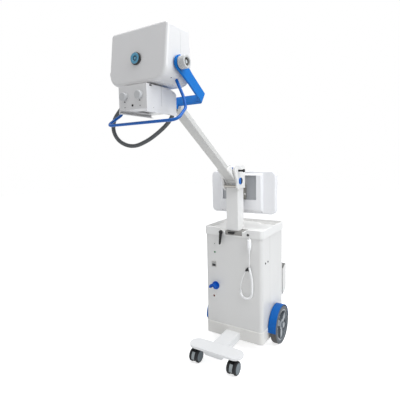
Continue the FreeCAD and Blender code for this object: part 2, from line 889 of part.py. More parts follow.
    # sheet pocket for cassettes: sloped sides, open at the top, one plate behind
    pocket = Piece("pocket_outer")
    high_back = S.pocket_high + S.pocket_rise
    half_pocket = half(pocket_width)

    def side_view(drawing, inset, top):
        drawing.polygon(
            (rear_y + inset, S.pocket_low + inset), (rear_reach - inset, S.pocket_low + S.pocket_chamfer + inset * 0.6),
            (rear_reach - inset, high_back + top), (rear_y + inset, S.pocket_high + top))

    pocket.slab("YZ", -half_pocket, half_pocket, lambda d: side_view(d, 0, 0))
    space = Piece("pocket_inner")
    space.slab("YZ", -half_pocket + S.pocket_sheet, half_pocket - S.pocket_sheet,
               lambda d: side_view(d, S.pocket_sheet, S.pocket_rise + 20))
    node("cassette_pocket", cut("pocket", pocket.body, space.body))


def make_leg():
    """Front leg: the beam, the stadium plate and the channel under it, welded as one."""
    beam = Piece("beam")
    beam.slab("XZ", beam_end - 1, -half(skirt_depth),
              lambda d: d.rectangle(-half(S.leg_width), S.leg_low, half(S.leg_width), S.leg_high))
    radius = half(S.plate_width)
    plate = Piece("plate")
    plate.slab("XY", plate_low, S.leg_high, lambda d: d.rectangle(
        -half(S.plate_length), plate_y - radius, half(S.plate_length), plate_y + radius))
    plate.round(radius - 0.5, along((0, 0, 1)))
    plate.round(S.plate_edge_round, level(S.leg_high))
    channel = Piece("channel")
    channel.slab("XZ", plate_y - S.channel_front, plate_y + S.channel_back, lambda d: d.polygon(
        (-half(S.channel_low_width), S.channel_low), (half(S.channel_low_width), S.channel_low),
        (half(S.channel_top_width), plate_low + 1), (-half(S.channel_top_width), plate_low + 1)))
    channel.slab("XZ", plate_y + S.channel_back - 1, beam_end, lambda d: d.rectangle(
        -half(S.leg_width) + 4, S.channel_low, half(S.leg_width) - 4, plate_low + 1))
    stems = [cylinder("stem_room", S.caster_stem_radius + S.bore_gap, (S.caster_x * side, caster_y, plate_low - 1),
                      S.plate_thickness - 2) for side in (-1, 1)]
    node("front_leg", cut("leg", fuse("leg_parts", beam.body, plate.body, channel.body), *stems))


def make_casters():
    """Two swivel casters with twin wheels: collar, hood band, axle and a wheel on each side."""
    radius = half(S.caster_diameter)
    face = half(S.caster_width)
    inner = face - S.caster_tyre
    for side, word in ((-1, "left"), (1, "right")):
        hood = Piece(f"hood_{word}")
        hood.slab("YZ", -inner + S.caster_hood_gap, inner - S.caster_hood_gap,
                  lambda d: d.circle(-S.caster_trail, radius, radius + S.caster_hood_rise))
        hood.cut("XY", -S.caster_hood_rise - 1, S.caster_hood_low,
                 lambda d: d.rectangle(-inner, -S.caster_trail - radius * 1.2, inner, -S.caster_trail + radius * 1.2))
        collar_low = plate_low - S.caster_collar_height
        hood.slab("XY", S.caster_diameter - 8, collar_low + 1, lambda d: d.circle(0, 0, S.caster_stem_radius + 4))
        hood.slab("XY", collar_low, plate_low - S.running_gap, lambda d: d.circle(0, 0, S.caster_collar_radius))
        hood.slab("XY", plate_low - 1, S.leg_high - 4, lambda d: d.circle(0, 0, S.caster_stem_radius))
        hood.slab("YZ", -face + 3.5, face - 3.5, lambda d: d.circle(-S.caster_trail, radius, S.caster_axle_radius))
        x = S.caster_x * side
        node(f"caster_hood_{word}", hood, x, caster_y, 0)
        bore = S.caster_axle_radius + S.bore_gap
        wheels = []
        for outward in (-1, 1):
            wheel = turned_part(
                "caster_wheel", (bore, inner), (radius - 3, inner), (radius, inner + 3), (radius, face - 6),
                (radius - 5, face - 1), (S.caster_cap_radius + 1, face - 1), (S.caster_cap_radius, face - 2.5),
                (S.caster_cap_radius - 1, face - 1), (S.caster_cap_radius - 7, face), (0, face), (0, face - 3),
                (bore, face - 3))
            wheels.append(place(wheel, x, caster_y - S.caster_trail + origin_y, radius, (0, 1, 0), 90 * outward))
        NODES[f"caster_wheels_{word}"] = group(f"caster_wheels_{word}", *wheels)


def make_rear_wheels():
    """Tyre and three-spoke hub on each side, and the two mudguards."""
    radius = wheel_radius
    wide = half(S.wheel_width)
    rim = radius - S.tyre_depth
    inner_rim = rim - S.rim_depth
    bore = S.axle_radius + S.bore_gap
    guards = []
    for side, word in ((-1, "left"), (1, "right")):
        x = half(wheel_track) * side
        tyre = turned_part(
            f"tyre_profile_{word}", (rim, -wide + 3), (rim + 4, -wide), (radius - S.tyre_round, -wide),
            (radius - S.tyre_round * 0.3, -wide + S.tyre_round * 0.3), (radius, -wide + S.tyre_round),
            (radius, wide - S.tyre_round), (radius - S.tyre_round * 0.3, wide - S.tyre_round * 0.3),
            (radius - S.tyre_round, wide), (rim + 4, wide), (rim, wide - 3))
        node(f"tyre_{word}", tyre, x, wheel_y, radius, (0, 1, 0), 90 * side)
        hub = Piece(f"hub_{word}_body")
        cap = S.hub_cap_radius
        hub.turned(
            (bore, -wide + S.hub_inset), (S.hub_radius, -wide + S.hub_inset), (S.hub_radius, -half(S.web_thickness)),
            (inner_rim, -half(S.web_thickness)), (inner_rim, -wide + 4), (rim, -wide + 4), (rim, wide - 4),
            (inner_rim, wide - 4), (inner_rim, half(S.web_thickness) + 6), (S.hub_radius + 12, half(S.web_thickness) + 6),
            (S.hub_radius, wide - 4), (cap + 1, wide - 3), (cap, wide + 5), (cap - 3, wide + 8), (0, wide + 8),
            (0, wide + 4.3), (bore, wide + 4.3))
        # one window between two spokes, repeated round the hub
        low, high = S.hub_radius + 10, inner_rim - 3
        window = hub.draw("XY", wide)
        window.polygon(*[(r * cosine(a), r * sine(a)) for r, a in (
            (low, 25), (high, 14), (high, 35), (high, 60), (high, 85), (high, 106), (low, 95), (low, 60))])
        pocket = hub.feature("Pocket", window, Length=S.wheel_width)
        hub.ring_of(pocket, 3)
        node(f"hub_{word}", hub, x, wheel_y, radius, (0, 1, 0), 90 * side)

        # the guard is a band over the tread with a flange at the skirt
        inside = radius + S.guard_gap
        near, far = half(skirt_width), half(wheel_track) + wide - 3
        start = near if side > 0 else -far
        upright = Rotation(Vector(0, 1, 0), 90).multiply(Rotation(Vector(0, 0, 1), 90))
        band = doc.addObject("Part::Cylinder", f"guard_{word}")
        bind(band, Radius=inside + S.guard_sheet, Height=far - near, Angle=S.guard_front_angle - S.guard_rear_angle)
        place(band, start, wheel_y + origin_y, radius)
        band.Placement.Rotation = upright.multiply(Rotation(Vector(0, 0, 1), number(S.guard_rear_angle)))
        tread_start = start + S.guard_sheet if side > 0 else start - 1
        tread_room = cylinder(f"guard_room_{word}", inside, (tread_start, wheel_y + origin_y, radius),
                              far - near - S.guard_sheet + 1, "X")
        eye = cylinder(f"guard_eye_{word}", radius - S.guard_flange, (start - 1, wheel_y + origin_y, radius),
                       far - near + 2, "X")
        guards.append(cut(f"guard_cut_{word}", band, tread_room, eye))
    NODES["mudguards"] = group("mudguards", *guards)


def make_mast():
    """Bracket, turntable, square column, fork cheeks with the pivot, balance spring and index plunger."""
    bracket_y = front_y + S.shell_sheet
    block = box("bracket_block", -S.window_left + 2, S.window_right - 2, bracket_y, column_back + 2,
                S.bracket_low, S.bracket_top)
    shaft_bore = cylinder("shaft_bore", S.shaft_radius + S.bore_gap, (0, column_y, S.bracket_low - 5),
                          S.bracket_top - S.bracket_low + 10)
    knob_bore = cylinder("knob_bore", S.knob_shaft_radius + S.bore_gap,
                         (S.lock_knob_x, bracket_y - 1, S.lock_knob_z), column_y - bracket_y, "Y")
    node("column_bracket", cut("bracket", block, shaft_bore, knob_bore))

    tube_body = Piece("column_tube")
    c = column_half
    tube_body.slab("XY", column_low - 0.5, S.column_top, lambda d: d.rectangle(-c, -c, c, c))
    tube_body.round(S.column_corner, along((0, 0, 1)))
    i = c - S.column_wall
    tube_body.cut("XY", column_low + S.column_floor, S.column_top, lambda d: d.rectangle(-i, -i, i, i))
    place(tube_body.body, 0, column_y, 0)
    disc_low = S.bracket_top + S.turntable_gap
    spigot_low = S.bracket_low - S.spigot_drop
    disc = cylinder("turntable_disc", S.turntable_radius, (0, column_y, disc_low), column_low - disc_low)
    spigot = cylinder("spigot", S.shaft_radius, (0, column_y + origin_y, spigot_low), disc_low - spigot_low)
    # lug for the console's hinge on the back of the column
    lug = S.lug_half
    lug_body = Piece("lug")
    lug_body.slab("YZ", -lug, lug, lambda d: d.polygon(
        (column_back - 1, S.tilt_z - 36), (column_back + 6, S.tilt_z - 36), (tilt_y, S.tilt_z - 12),
        (tilt_y + 10, S.tilt_z - 6), (tilt_y + 12, S.tilt_z), (tilt_y + 10, S.tilt_z + 6),
        (tilt_y, S.tilt_z + 12), (column_back + 6, S.tilt_z + 36), (column_back - 1, S.tilt_z + 36)))
    tilt_pin = cylinder("tilt_pin", S.tilt_pin_radius, (-S.tilt_pin_half, tilt_y, S.tilt_z), S.tilt_pin_half * 2, "X")
    mast = fuse("column_parts", tube_body.body, disc, lug_body.body, tilt_pin)
    place(mast, 0, origin_y, 0)
    NODES["column"] = group("column", mast, spigot)

    # the cheeks rise from the column's sides past the pivot pin, which joins them
    front_low = pivot_y - S.cheek_reach
    top = S.plunger_z + S.cheek_above
    parts = []
    for side in (-1, 1):
        low = c if side > 0 else -c - S.cheek_thickness
        cheek = Piece("cheek")
        cheek.slab("YZ", low, low + S.cheek_thickness, lambda d: d.polygon(
            (column_y - c, S.column_top - S.cheek_overlap), (column_back, S.column_top - S.cheek_overlap),
            (column_back, top), (front_low - S.cheek_nose, top), (front_low, S.pivot_z),
            (front_low, S.pivot_z - S.cheek_below), (column_y - c, S.pivot_z - S.cheek_below - 26)))
        cheek.round(S.cheek_round, both(along((1, 0, 0)), lambda e: e.BoundBox.ZMin > number(top) - 1))
        cheek.round(10, both(along((1, 0, 0)), lambda e: e.BoundBox.YMax < number(front_low) + 1
                             and e.BoundBox.ZMax < number(S.pivot_z) + 1))
        parts.append(cheek.body)
        start = fork_x if side > 0 else -fork_x - S.cap_thickness
        parts.append(cylinder("pivot_cap", S.cap_radius, (start, pivot_y, S.pivot_z), S.cap_thickness, "X"))
    parts.append(cylinder("pivot_pin", S.pivot_radius, (-fork_x, pivot_y, S.pivot_z), fork_x * 2, "X"))
    plunger_bore = cylinder("plunger_bore", S.plunger_pin_radius + S.bore_gap, (c - 1, plunger_y, S.plunger_z),
                            S.cheek_thickness + 2, "X")
    node("fork_cheeks", cut("cheeks", fuse("cheek_parts", *parts), plunger_bore))

    stop = cylinder("stop_bar", S.stop_radius, (-c, stop_y + origin_y, S.stop_z), c * 2, "X")
    foot = column_low + S.column_floor
    rod_top = S.column_top - 2
    canister = turned_part(
        "spring_canister", (0, foot), (S.spring_radius, foot), (S.spring_radius, foot + S.spring_length),
        (S.spring_rod, foot + S.spring_length + 4), (S.spring_rod, rod_top), (0, rod_top))
    place(canister, 0, column_y + origin_y, 0)
    NODES["balance_spring"] = group("balance_spring", stop, canister)

    r, pin, reach = S.plunger_knob_radius, S.plunger_pin_radius, S.plunger_reach
    plunger = turned_part(
        "plunger_profile", (0, -S.cheek_thickness), (pin, -S.cheek_thickness), (pin, S.running_gap),
        (S.plunger_body_radius, S.running_gap), (S.plunger_body_radius, reach - 16), (r - 3, reach - 14),
        (r, reach - 8), (r, reach - 3), (r - 3, reach), (0, reach))
    node("index_plunger", plunger, fork_x, plunger_y, S.plunger_z, (0, 1, 0), 90)


def make_arm():
    """The arm's tube with its wrist flange, and the root plates round the pivot. -Y runs along the arm."""
    w, t = half(S.arm_width), half(S.arm_depth)
    bar = Piece("arm_bar")
    bar.slab("XZ", -S.arm_length, -S.arm_start, lambda d: d.rectangle(-w, -t, w, t))
    bar.round(S.arm_corner, along((0, 1, 0)))
    bar.cut("XZ", -S.arm_length + S.arm_plug, -S.arm_start, lambda d: d.rectangle(
        -w + S.arm_wall, -t + S.arm_wall, w - S.arm_wall, t - S.arm_wall))
    flange_end = crossbar - half(S.yoke_thickness) - S.running_gap
    bar.slab("XZ", -flange_end, -S.arm_length + 1, lambda d: d.circle(0, 0, S.wrist_radius))
    bar.cut("XZ", -flange_end - 1, -S.arm_length + S.arm_plug + 1,
            lambda d: d.circle(0, 0, S.wrist_shaft_radius + S.bore_gap))
    node("arm_tube", bar, 0, pivot_y, S.pivot_z, (1, 0, 0), -S.arm_elevation)

    root_x = half(S.root_width)
    parts = []
    for side in (-1, 1):
        low = w if side > 0 else -root_x
        plate = Piece("gusset")
        plate.slab("YZ", low, low + root_x - w, lambda d: d.polygon(
            (-S.root_length, -t), (-34, -t), (-14, -S.root_radius + 3), (6, -S.root_radius), (20, -17),
            (S.root_radius, 0), (S.root_radius, 20), (-4, S.root_height - 8), (-22, S.root_height),
            (-44, S.root_height), (-S.root_length, t + 2)))
        parts.append(plate.body)
    parts.append(cylinder("root_sleeve", S.pivot_radius + 9, (-root_x, 0, 0), root_x * 2, "X"))
    parts.append(box("root_web", -w, w, -64, -24, t + S.running_gap, t + 6))
    pin_bore = cylinder("root_bore", S.pivot_radius + S.bore_gap, (-root_x - 5, 0, 0), root_x * 2 + 10, "X")
    node("arm_root", cut("root", fuse("root_parts", *parts), pin_bore),
         0, pivot_y, S.pivot_z, (1, 0, 0), -S.arm_elevation)


def make_yoke():
    """Flat bar fork with its wrist shaft and nut. -Y runs along the arm from the arm's pivot."""
    t = half(S.yoke_thickness)
    bar = half(S.yoke_bar)
    across = half(S.yoke_width)
    end = head_distance
    fork = Piece("fork_plan")
    fork.slab("XY", -bar, bar, lambda d: d.polygon(
        (-across, -crossbar + t), (across, -crossbar + t), (across, -end), (yoke_inner, -end),
        (yoke_inner, -crossbar - t), (-yoke_inner, -crossbar - t), (-yoke_inner, -end), (-across, -end)))
    fork.round(S.yoke_bend, both(along((0, 0, 1)), lambda e: e.BoundBox.YMin > number(t - crossbar) - 0.01))
    parts = [fork.body]
    eye = S.yoke_eye_radius
    for side in (-1, 1):
        start = yoke_inner if side > 0 else -across
        taper = Piece("yoke_taper")
        taper.slab("YZ", start, start + S.yoke_thickness, lambda d: d.polygon(
            (-end, -eye), (-end + 12, -eye + 1.5), (-end + S.yoke_taper, -bar), (-end + S.yoke_taper, bar),
            (-end + 12, eye - 1.5), (-end, eye)))
        parts += [cylinder("yoke_eye", eye, (start, -end, 0), S.yoke_thickness, "X"), taper.body]
    parts.append(cylinder("wrist_shaft", S.wrist_shaft_radius, (0, -crossbar, 0), S.wrist_shaft_length, "Y"))
    parts.append(cylinder("wrist_nut", S.wrist_nut_radius, (0, -crossbar - t - S.wrist_nut_height, 0),
                          S.wrist_nut_height + 1, "Y"))
    parts.append(cylinder("yoke_gland", S.gland_radius, (S.yoke_gland_x, -crossbar, -bar - S.yoke_gland_length),
                          S.yoke_gland_length + 1))
    bores = cylinder("yoke_bore", S.trunnion_radius + S.bore_gap, (-across - 5, -end, 0), across * 2 + 10, "X")
    node("yoke", cut("yoke_bored", fuse("yoke_parts", *parts), bores),
         0, pivot_y, S.pivot_z, (1, 0, 0), -S.arm_elevation)


def head_form(name, inset):
    """The head's outer form, or the same form drawn in by a wall: rounded front view, leaning faces."""
    w = half(S.head_width) - inset
    low, high = head_low + inset, head_high - inset
    middle = number(head_low + head_high) / 2
    front_low, front_high = head_y - S.head_front_low + inset, head_y - S.head_front_high + inset
    back_low, back_high = head_y + S.head_back_low - inset, head_y + S.head_back_high - inset
    piece = Piece(name)
    piece.slab("XZ", front_low - 1, back_low + 1, lambda d: d.rectangle(-w, low, w, high))
    piece.round(S.head_low_corner - inset, both(along((0, 1, 0)), lambda e: e.BoundBox.ZMax < middle))
    piece.round(S.head_top_corner - inset * 0.6, both(along((0, 1, 0)), lambda e: e.BoundBox.ZMin > middle))
    piece.cut("YZ", -w - 1, w + 1, lambda d: d.polygon(
        (front_low, low - 1), (front_high, high + 1), (front_low - 5, high + 1), (front_low - 5, low - 1)))
    piece.cut("YZ", -w - 1, w + 1, lambda d: d.polygon(
        (back_low, low - 1), (back_low + 5, low - 1), (back_low + 5, high + 1), (back_high, high + 1)))

    def on_face(edge, y_low, y_high):
        slope = (number(y_high) - number(y_low)) / (number(high) - number(low) + 2)
        return all(abs(v.Y - number(y_low) - slope * (v.Z - number(low) + 1)) < 0.01 for v in edge.Vertexes)

    return piece, lambda e: on_face(e, front_low, front_high) or on_face(e, back_low, back_high)


def make_head():
    """Two shells, the tube unit with its trunnions, knobs, the end boss and the handle."""
    outer, rims = head_form("head_outer", as_size(0))
    outer.round(S.head_edge_round, rims)
    inner, inner_rims = head_form("head_inner", S.head_wall)
    inner.round(S.head_edge_round - S.head_wall, inner_rims)
    shell = cut("head_shell", outer.body, inner.body)
    parting = head_y + S.head_parting
    big = half(S.head_width) + 10
    below, above = head_low - 10, head_high + 10
    ahead = box("head_ahead", -big, big, head_y - 130, parting - half(S.head_parting_gap), below, above)
    behind = box("head_behind", -big, big, parting + half(S.head_parting_gap), head_y + 140, below, above)
    port = S.port_radius
    beam_hole = cylinder("beam_hole", port, (0, beam_y, head_low - 10), 30)
    pivot_hole = cylinder("pivot_hole", S.trunnion_radius, (-big, head_y, head_z), big * 2, "X")

    slope = (S.head_front_low - S.head_front_high) / (head_high - head_low)
    boss_y = head_y - S.head_front_low + slope * (boss_z - head_low)
    r = S.boss_radius
    ring = turned_part("boss_ring", (0, -8), (r - 5, -8), (r - 5, 2), (r, 2), (r + 1, 3.5),
                       (r + 1, S.boss_height - 6), (r - 1, S.boss_height - 5), (0, S.boss_height - 5))
    place(ring, 0, boss_y, boss_z, (1, 0, 0), 90)
    low = S.boss_height - 5
    cap = turned_part("boss_cap_profile", (0, low), (r - 1.5, low), (r - 1.5, low + 3), (r - 4, low + 5),
                      (S.boss_recess + 2, low + 5), (S.boss_recess, low + 3), (S.boss_recess, low + 1),
                      (5, low + 1), (4, low + 3), (0, low + 3))
    node("boss_cap", cap, 0, boss_y, boss_z, (1, 0, 0), 90)

    # bent tube round the collimator, its ends set into the lower shell
    leg_y = head_y + S.handle_leg_y
    bar_y = head_y - S.handle_reach
    route = [(S.handle_top_x, leg_y, head_low + S.handle_seat), (S.handle_waist_x, leg_y, handle_waist_z),
             (S.handle_knee_x, leg_y, handle_knee_z), (S.handle_front_x, bar_y, handle_front_z)]
    other = [(-x, y, z) for x, y, z in route]
    handle = tube("handle_bar", route + other[::-1], S.handle_radius, S.handle_bend)
    sockets = tube("handle_sockets", route + other[::-1], S.handle_radius, S.handle_bend)
    front = fuse("head_front_parts", common("head_front_half", shell, ahead), ring)
    node("head_front_shell", cut("head_front", front, beam_hole, pivot_hole, sockets))
    node("handle", handle)

    # cable gland on the round lower corner of the rear shell, square to its surface
    corner_x, corner_z = half(S.head_width) - S.head_low_corner, head_low + S.head_low_corner
    lean = S.gland_lean
    gland = turned_part("gland", (0, -2.5), (S.gland_radius, -2.5), (S.gland_radius, S.gland_length - 6),
                        (S.gland_radius - 3, S.gland_length), (0, S.gland_length))
    place(gland, -corner_x - S.head_low_corner * sine(lean), head_y + S.gland_y,
          corner_z - S.head_low_corner * cosine(lean), (0, 1, 0), lean - 180)
    rear = cut("head_rear_open", common("head_rear_half", shell, behind), beam_hole)
    node("head_rear_shell", fuse("head_rear", rear, gland))

    # x-ray tube unit: tank on the trunnion line, beam port below and a shaft through each shell side
    reach = half(S.head_width)
    tank_half = half(S.tube_length)
    inside_x = reach - S.head_wall
    trunnion_end = half(S.yoke_width) - 0.5
    neck_r = S.trunnion_radius + 2
    tank = turned_part(
        "tank", (0, -trunnion_end), (S.trunnion_radius, -trunnion_end), (S.trunnion_radius, -yoke_inner + 0.5),
        (S.trunnion_flange, -yoke_inner + 0.5), (S.trunnion_flange, -reach), (S.trunnion_radius, -reach),
        (S.trunnion_radius, -inside_x), (neck_r, -inside_x), (neck_r, -tank_half - 4),
        (S.tube_radius - 6, -tank_half), (S.tube_radius, -tank_half + 6), (S.tube_radius, tank_half - 6),
        (S.tube_radius - 6, tank_half), (neck_r, tank_half + 4), (neck_r, inside_x),
        (S.trunnion_radius, inside_x), (S.trunnion_radius, reach), (S.trunnion_flange, reach),
        (S.trunnion_flange, yoke_inner - 0.5), (S.trunnion_radius, yoke_inner - 0.5),
        (S.trunnion_radius, trunnion_end), (0, trunnion_end))
    place(tank, 0, head_y, head_z, (0, 1, 0), 90)
    port_bar = cylinder("port", port, (0, beam_y, head_low + 1), head_z - head_low - 1)
    node("tube_tank", fuse("tube_unit", tank, port_bar))

    for side, word in ((-1, "left"), (1, "right")):
        near = half(S.yoke_width) + S.running_gap
        far = near + S.knob_length
        k = S.knob_radius
        knob = turned_part(
            f"tilt_knob_profile_{word}", (0, near), (k - 3, near), (k, near + 3), (k, near + 13), (k - 2, near + 15),
            (k - 2, near + 17), (k, near + 19), (k, far - 2), (k - 2, far), (k - 9, far), (k - 11, far - 8),
            (7, far - 8), (7, far - 4), (0, far - 4))
        node(f"tilt_knob_{word}", knob, 0, head_y, head_z, (0, 1, 0), 90 * side)


def make_collimator():
    """Housing, front panel, base with rails, window, dials and the two pairs of shutter leaves."""
    w, d = half(S.collimator_width), half(S.collimator_depth)
    front, back = beam_y - d, beam_y + d
    inside = front + S.panel_thickness
    low, high = collimator_low, collimator_high
    floor = low + S.collimator_base
    wall = S.collimator_wall
    drop, run = S.collimator_drop, S.collimator_run

    def side_view(drawing, inset, bottom):
        drawing.polygon(
            (inside, bottom), (back - inset, bottom), (back - inset, high - drop - inset),
            (back - run * 0.1 - inset, high - drop * 0.66 - inset), (back - run * 0.3 - inset, high - drop * 0.36 - inset),
            (back - run * 0.6 - inset, high - drop * 0.1 - inset), (back - run - inset, high - inset),
            (inside, high - inset))

    outer = Piece("housing_outer")
    outer.slab("YZ", -w, w, lambda dr: side_view(dr, 0, floor))
    outer.round(S.collimator_round, lambda e: abs(abs(e.BoundBox.XMin) - number(w)) < 0.01
                and e.BoundBox.XMax - e.BoundBox.XMin < 0.01 and e.BoundBox.ZMin > number(floor) + 1
                and e.BoundBox.YMax > number(inside) + 1)
    inner = Piece("housing_inner")
    inner.slab("YZ", -w + wall, w - wall, lambda dr: side_view(dr, wall, floor - 1))
    neck = cylinder("neck", S.neck_radius, (0, beam_y, high - 1), head_low - high + 1 - S.running_gap)
    through = cylinder("neck_room", S.port_radius, (0, beam_y, high - 20), 40)
    node("collimator_housing", cut("housing", fuse("housing_parts", outer.body, neck), inner.body, through))

    panel = Piece("panel_body")
    panel.slab("XZ", front, inside, lambda dr: dr.rectangle(-w, low, w, high))
    panel.round(S.panel_round, lambda e: e.BoundBox.YMax < number(front) + 0.01)
    for side in (-1, 1):
        x = S.dial_middle + S.dial_spread * side
        panel.cut("XZ", front - 1, inside + 1, lambda dr: dr.circle(x, dial_z, S.dial_shaft + S.bore_gap))
    panel.cut("XZ", front - 1, inside + 1,
              lambda dr: dr.circle(0, light_button_z, S.light_button_radius + S.bore_gap))
    node("collimator_panel", panel)

    # base plate with its square aperture, and an L-section accessory rail down each side
    a = half(S.aperture)
    base = Piece("base_body")
    base.slab("XY", low, floor, lambda dr: dr.rectangle(-w, inside, w, back))
    base.cut("XY", low - 1, floor + 1, lambda dr: dr.rectangle(-a, beam_y - a, a, beam_y + a))
    for side in (-1, 1):
        outer_x = (w - S.rail_inset) * side
        lip = S.rail_lip * side
        hook = S.rail_width * side
        sheet_z = low - S.rail_drop + S.rail_sheet
        base.slab("XZ", inside - S.rail_overhang, back + S.rail_overhang, lambda dr: dr.polygon(
            (outer_x, low), (outer_x - lip, low), (outer_x - lip, sheet_z), (outer_x - hook, sheet_z),
            (outer_x - hook, low - S.rail_drop), (outer_x, low - S.rail_drop)))
    node("collimator_base", base)
    pane = box("pane", -a, a, beam_y - a, beam_y + a, low + 1, low + 1 + S.window_sheet)
    node_block("collimator_window", pane)

    for side, word in ((-1, "left"), (1, "right")):
        r, length, shaft = S.dial_radius, S.dial_length, S.dial_shaft
        dial = turned_part(f"dial_profile_{word}", (0, -S.panel_thickness - 8), (shaft, -S.panel_thickness - 8),
                           (shaft, S.running_gap), (r, S.running_gap), (r, length - 3), (r - 2, length), (0, length))
        node(f"collimator_dial_{word}", dial, S.dial_middle + S.dial_spread * side, front, dial_z, (1, 0, 0), 90)
    b = S.light_button_radius
    button = turned_part("light_button_profile", (0, -7), (b, -7), (b, 2), (b - 1, 3), (0, 3))
    node("light_button", button, 0, front, light_button_z, (1, 0, 0), 90)

    # lead leaves slide on the base: the pair along Y lies below the pair along X
    opening, width = half(S.leaf_opening), half(S.leaf_width)
    lower = floor + S.running_gap
    upper = lower + S.leaf_thickness + S.running_gap
    for side, word in ((-1, "left"), (1, "right")):
        near = opening if side > 0 else -opening - S.leaf_length
        node_block(f"shutter_{word}", box(f"leaf_{word}", near, near + S.leaf_length, beam_y - width, beam_y + width,
                                          upper, upper + S.leaf_thickness))
    for side, word in ((-1, "front"), (1, "back")):
        near = opening if side > 0 else -opening - S.leaf_length
        node_block(f"shutter_{word}", box(f"leaf_{word}", -width, width, beam_y + near, beam_y + near + S.leaf_length,
                                          lower, lower + S.leaf_thickness))


def make_console():
    """Tilting console behind the mast: two shells, the screen and the hinge channel."""
    w, h = half(S.console_width), half(S.console_height)
    z0, z1 = S.console_z - h, S.console_z + h
    back_y, part_y, face_y = console_back_y, console_parting_y, console_front_y
    wall = S.console_wall

    def block(name, y0, y1, inset):
        piece = Piece(name)
        piece.slab("XZ", y0, y1, lambda d: d.rectangle(-w + inset, z0 + inset, w - inset, z1 - inset))
        return piece.round(S.console_corner - inset, along((0, 1, 0)))

    back = block("console_back_outer", back_y, part_y, as_size(0))
    back.round(S.console_back_round, lambda e: e.BoundBox.YMax < number(back_y) + 0.01)
    hump_y = back_y - S.console_hump
    hump = Piece("console_hump_body")
    hump.slab("XZ", hump_y, back_y + 1, lambda d: d.rectangle(
        -S.hump_left, z0 + S.hump_margin, S.hump_right, z1 - S.hump_margin))
    hump.round(S.console_hump - 1, lambda e: e.BoundBox.YMax < number(hump_y) + 0.01, "Chamfer")
    room = block("console_back_room", back_y + wall, part_y + 1, wall)
    recess = box("console_recess", -S.recess_left, S.recess_right, hump_y - 1, hump_y + S.console_recess,
                 S.recess_low, S.recess_high)
    node("console_rear_shell", cut("console_back", fuse("console_back_parts", back.body, hump.body), room.body, recess))

    front = block("console_front_outer", part_y + S.running_gap, face_y, as_size(0))
    front.round(S.console_front_round, lambda e: e.BoundBox.YMin > number(face_y) - 0.01)
    front_room = block("console_front_room", part_y, face_y - wall, wall)
    sw, sh = half(S.screen_width), half(S.screen_height)
    screen_room = box("screen_room", -sw, sw, face_y - 10, face_y + 1, S.console_z - sh, S.console_z + sh)
    node("console_front_shell", cut("console_front", front.body, front_room.body, screen_room))
    edge = S.screen_edge
    glass = box("screen_glass", -sw - edge, sw + edge, face_y - wall - S.screen_depth, face_y - wall,
                S.console_z - sh - edge, S.console_z + sh + edge)
    node_block("console_screen", glass)

    # channel in the recess whose side plates carry the tilt pin
    b = S.lug_half + S.running_gap
    outer_b = b + S.hinge_sheet
    seat = hump_y + S.console_recess
    web = box("hinge_web", -outer_b, outer_b, seat - S.hinge_sheet, seat, S.hinge_low, S.hinge_high)
    parts = [web]
    for side in (-1, 1):
        start = b if side > 0 else -outer_b
        flange = Piece("hinge_flange")
        flange.slab("YZ", start, outer_b - b + start, lambda d: d.polygon(
            (seat - 1, S.hinge_low), (seat - 1, S.hinge_high), (tilt_y + 6, S.hinge_high),
            (tilt_y - 11, S.tilt_z + 16), (tilt_y - 11, S.tilt_z - 16), (tilt_y + 6, S.hinge_low)))
        parts.append(flange.body)
    pin_room = cylinder("hinge_bore", S.tilt_pin_radius + S.bore_gap, (-outer_b - 5, tilt_y, S.tilt_z),
                        outer_b * 2 + 10, "X")
    node("console_hinge", cut("hinge", fuse("hinge_parts", *parts), pin_room))


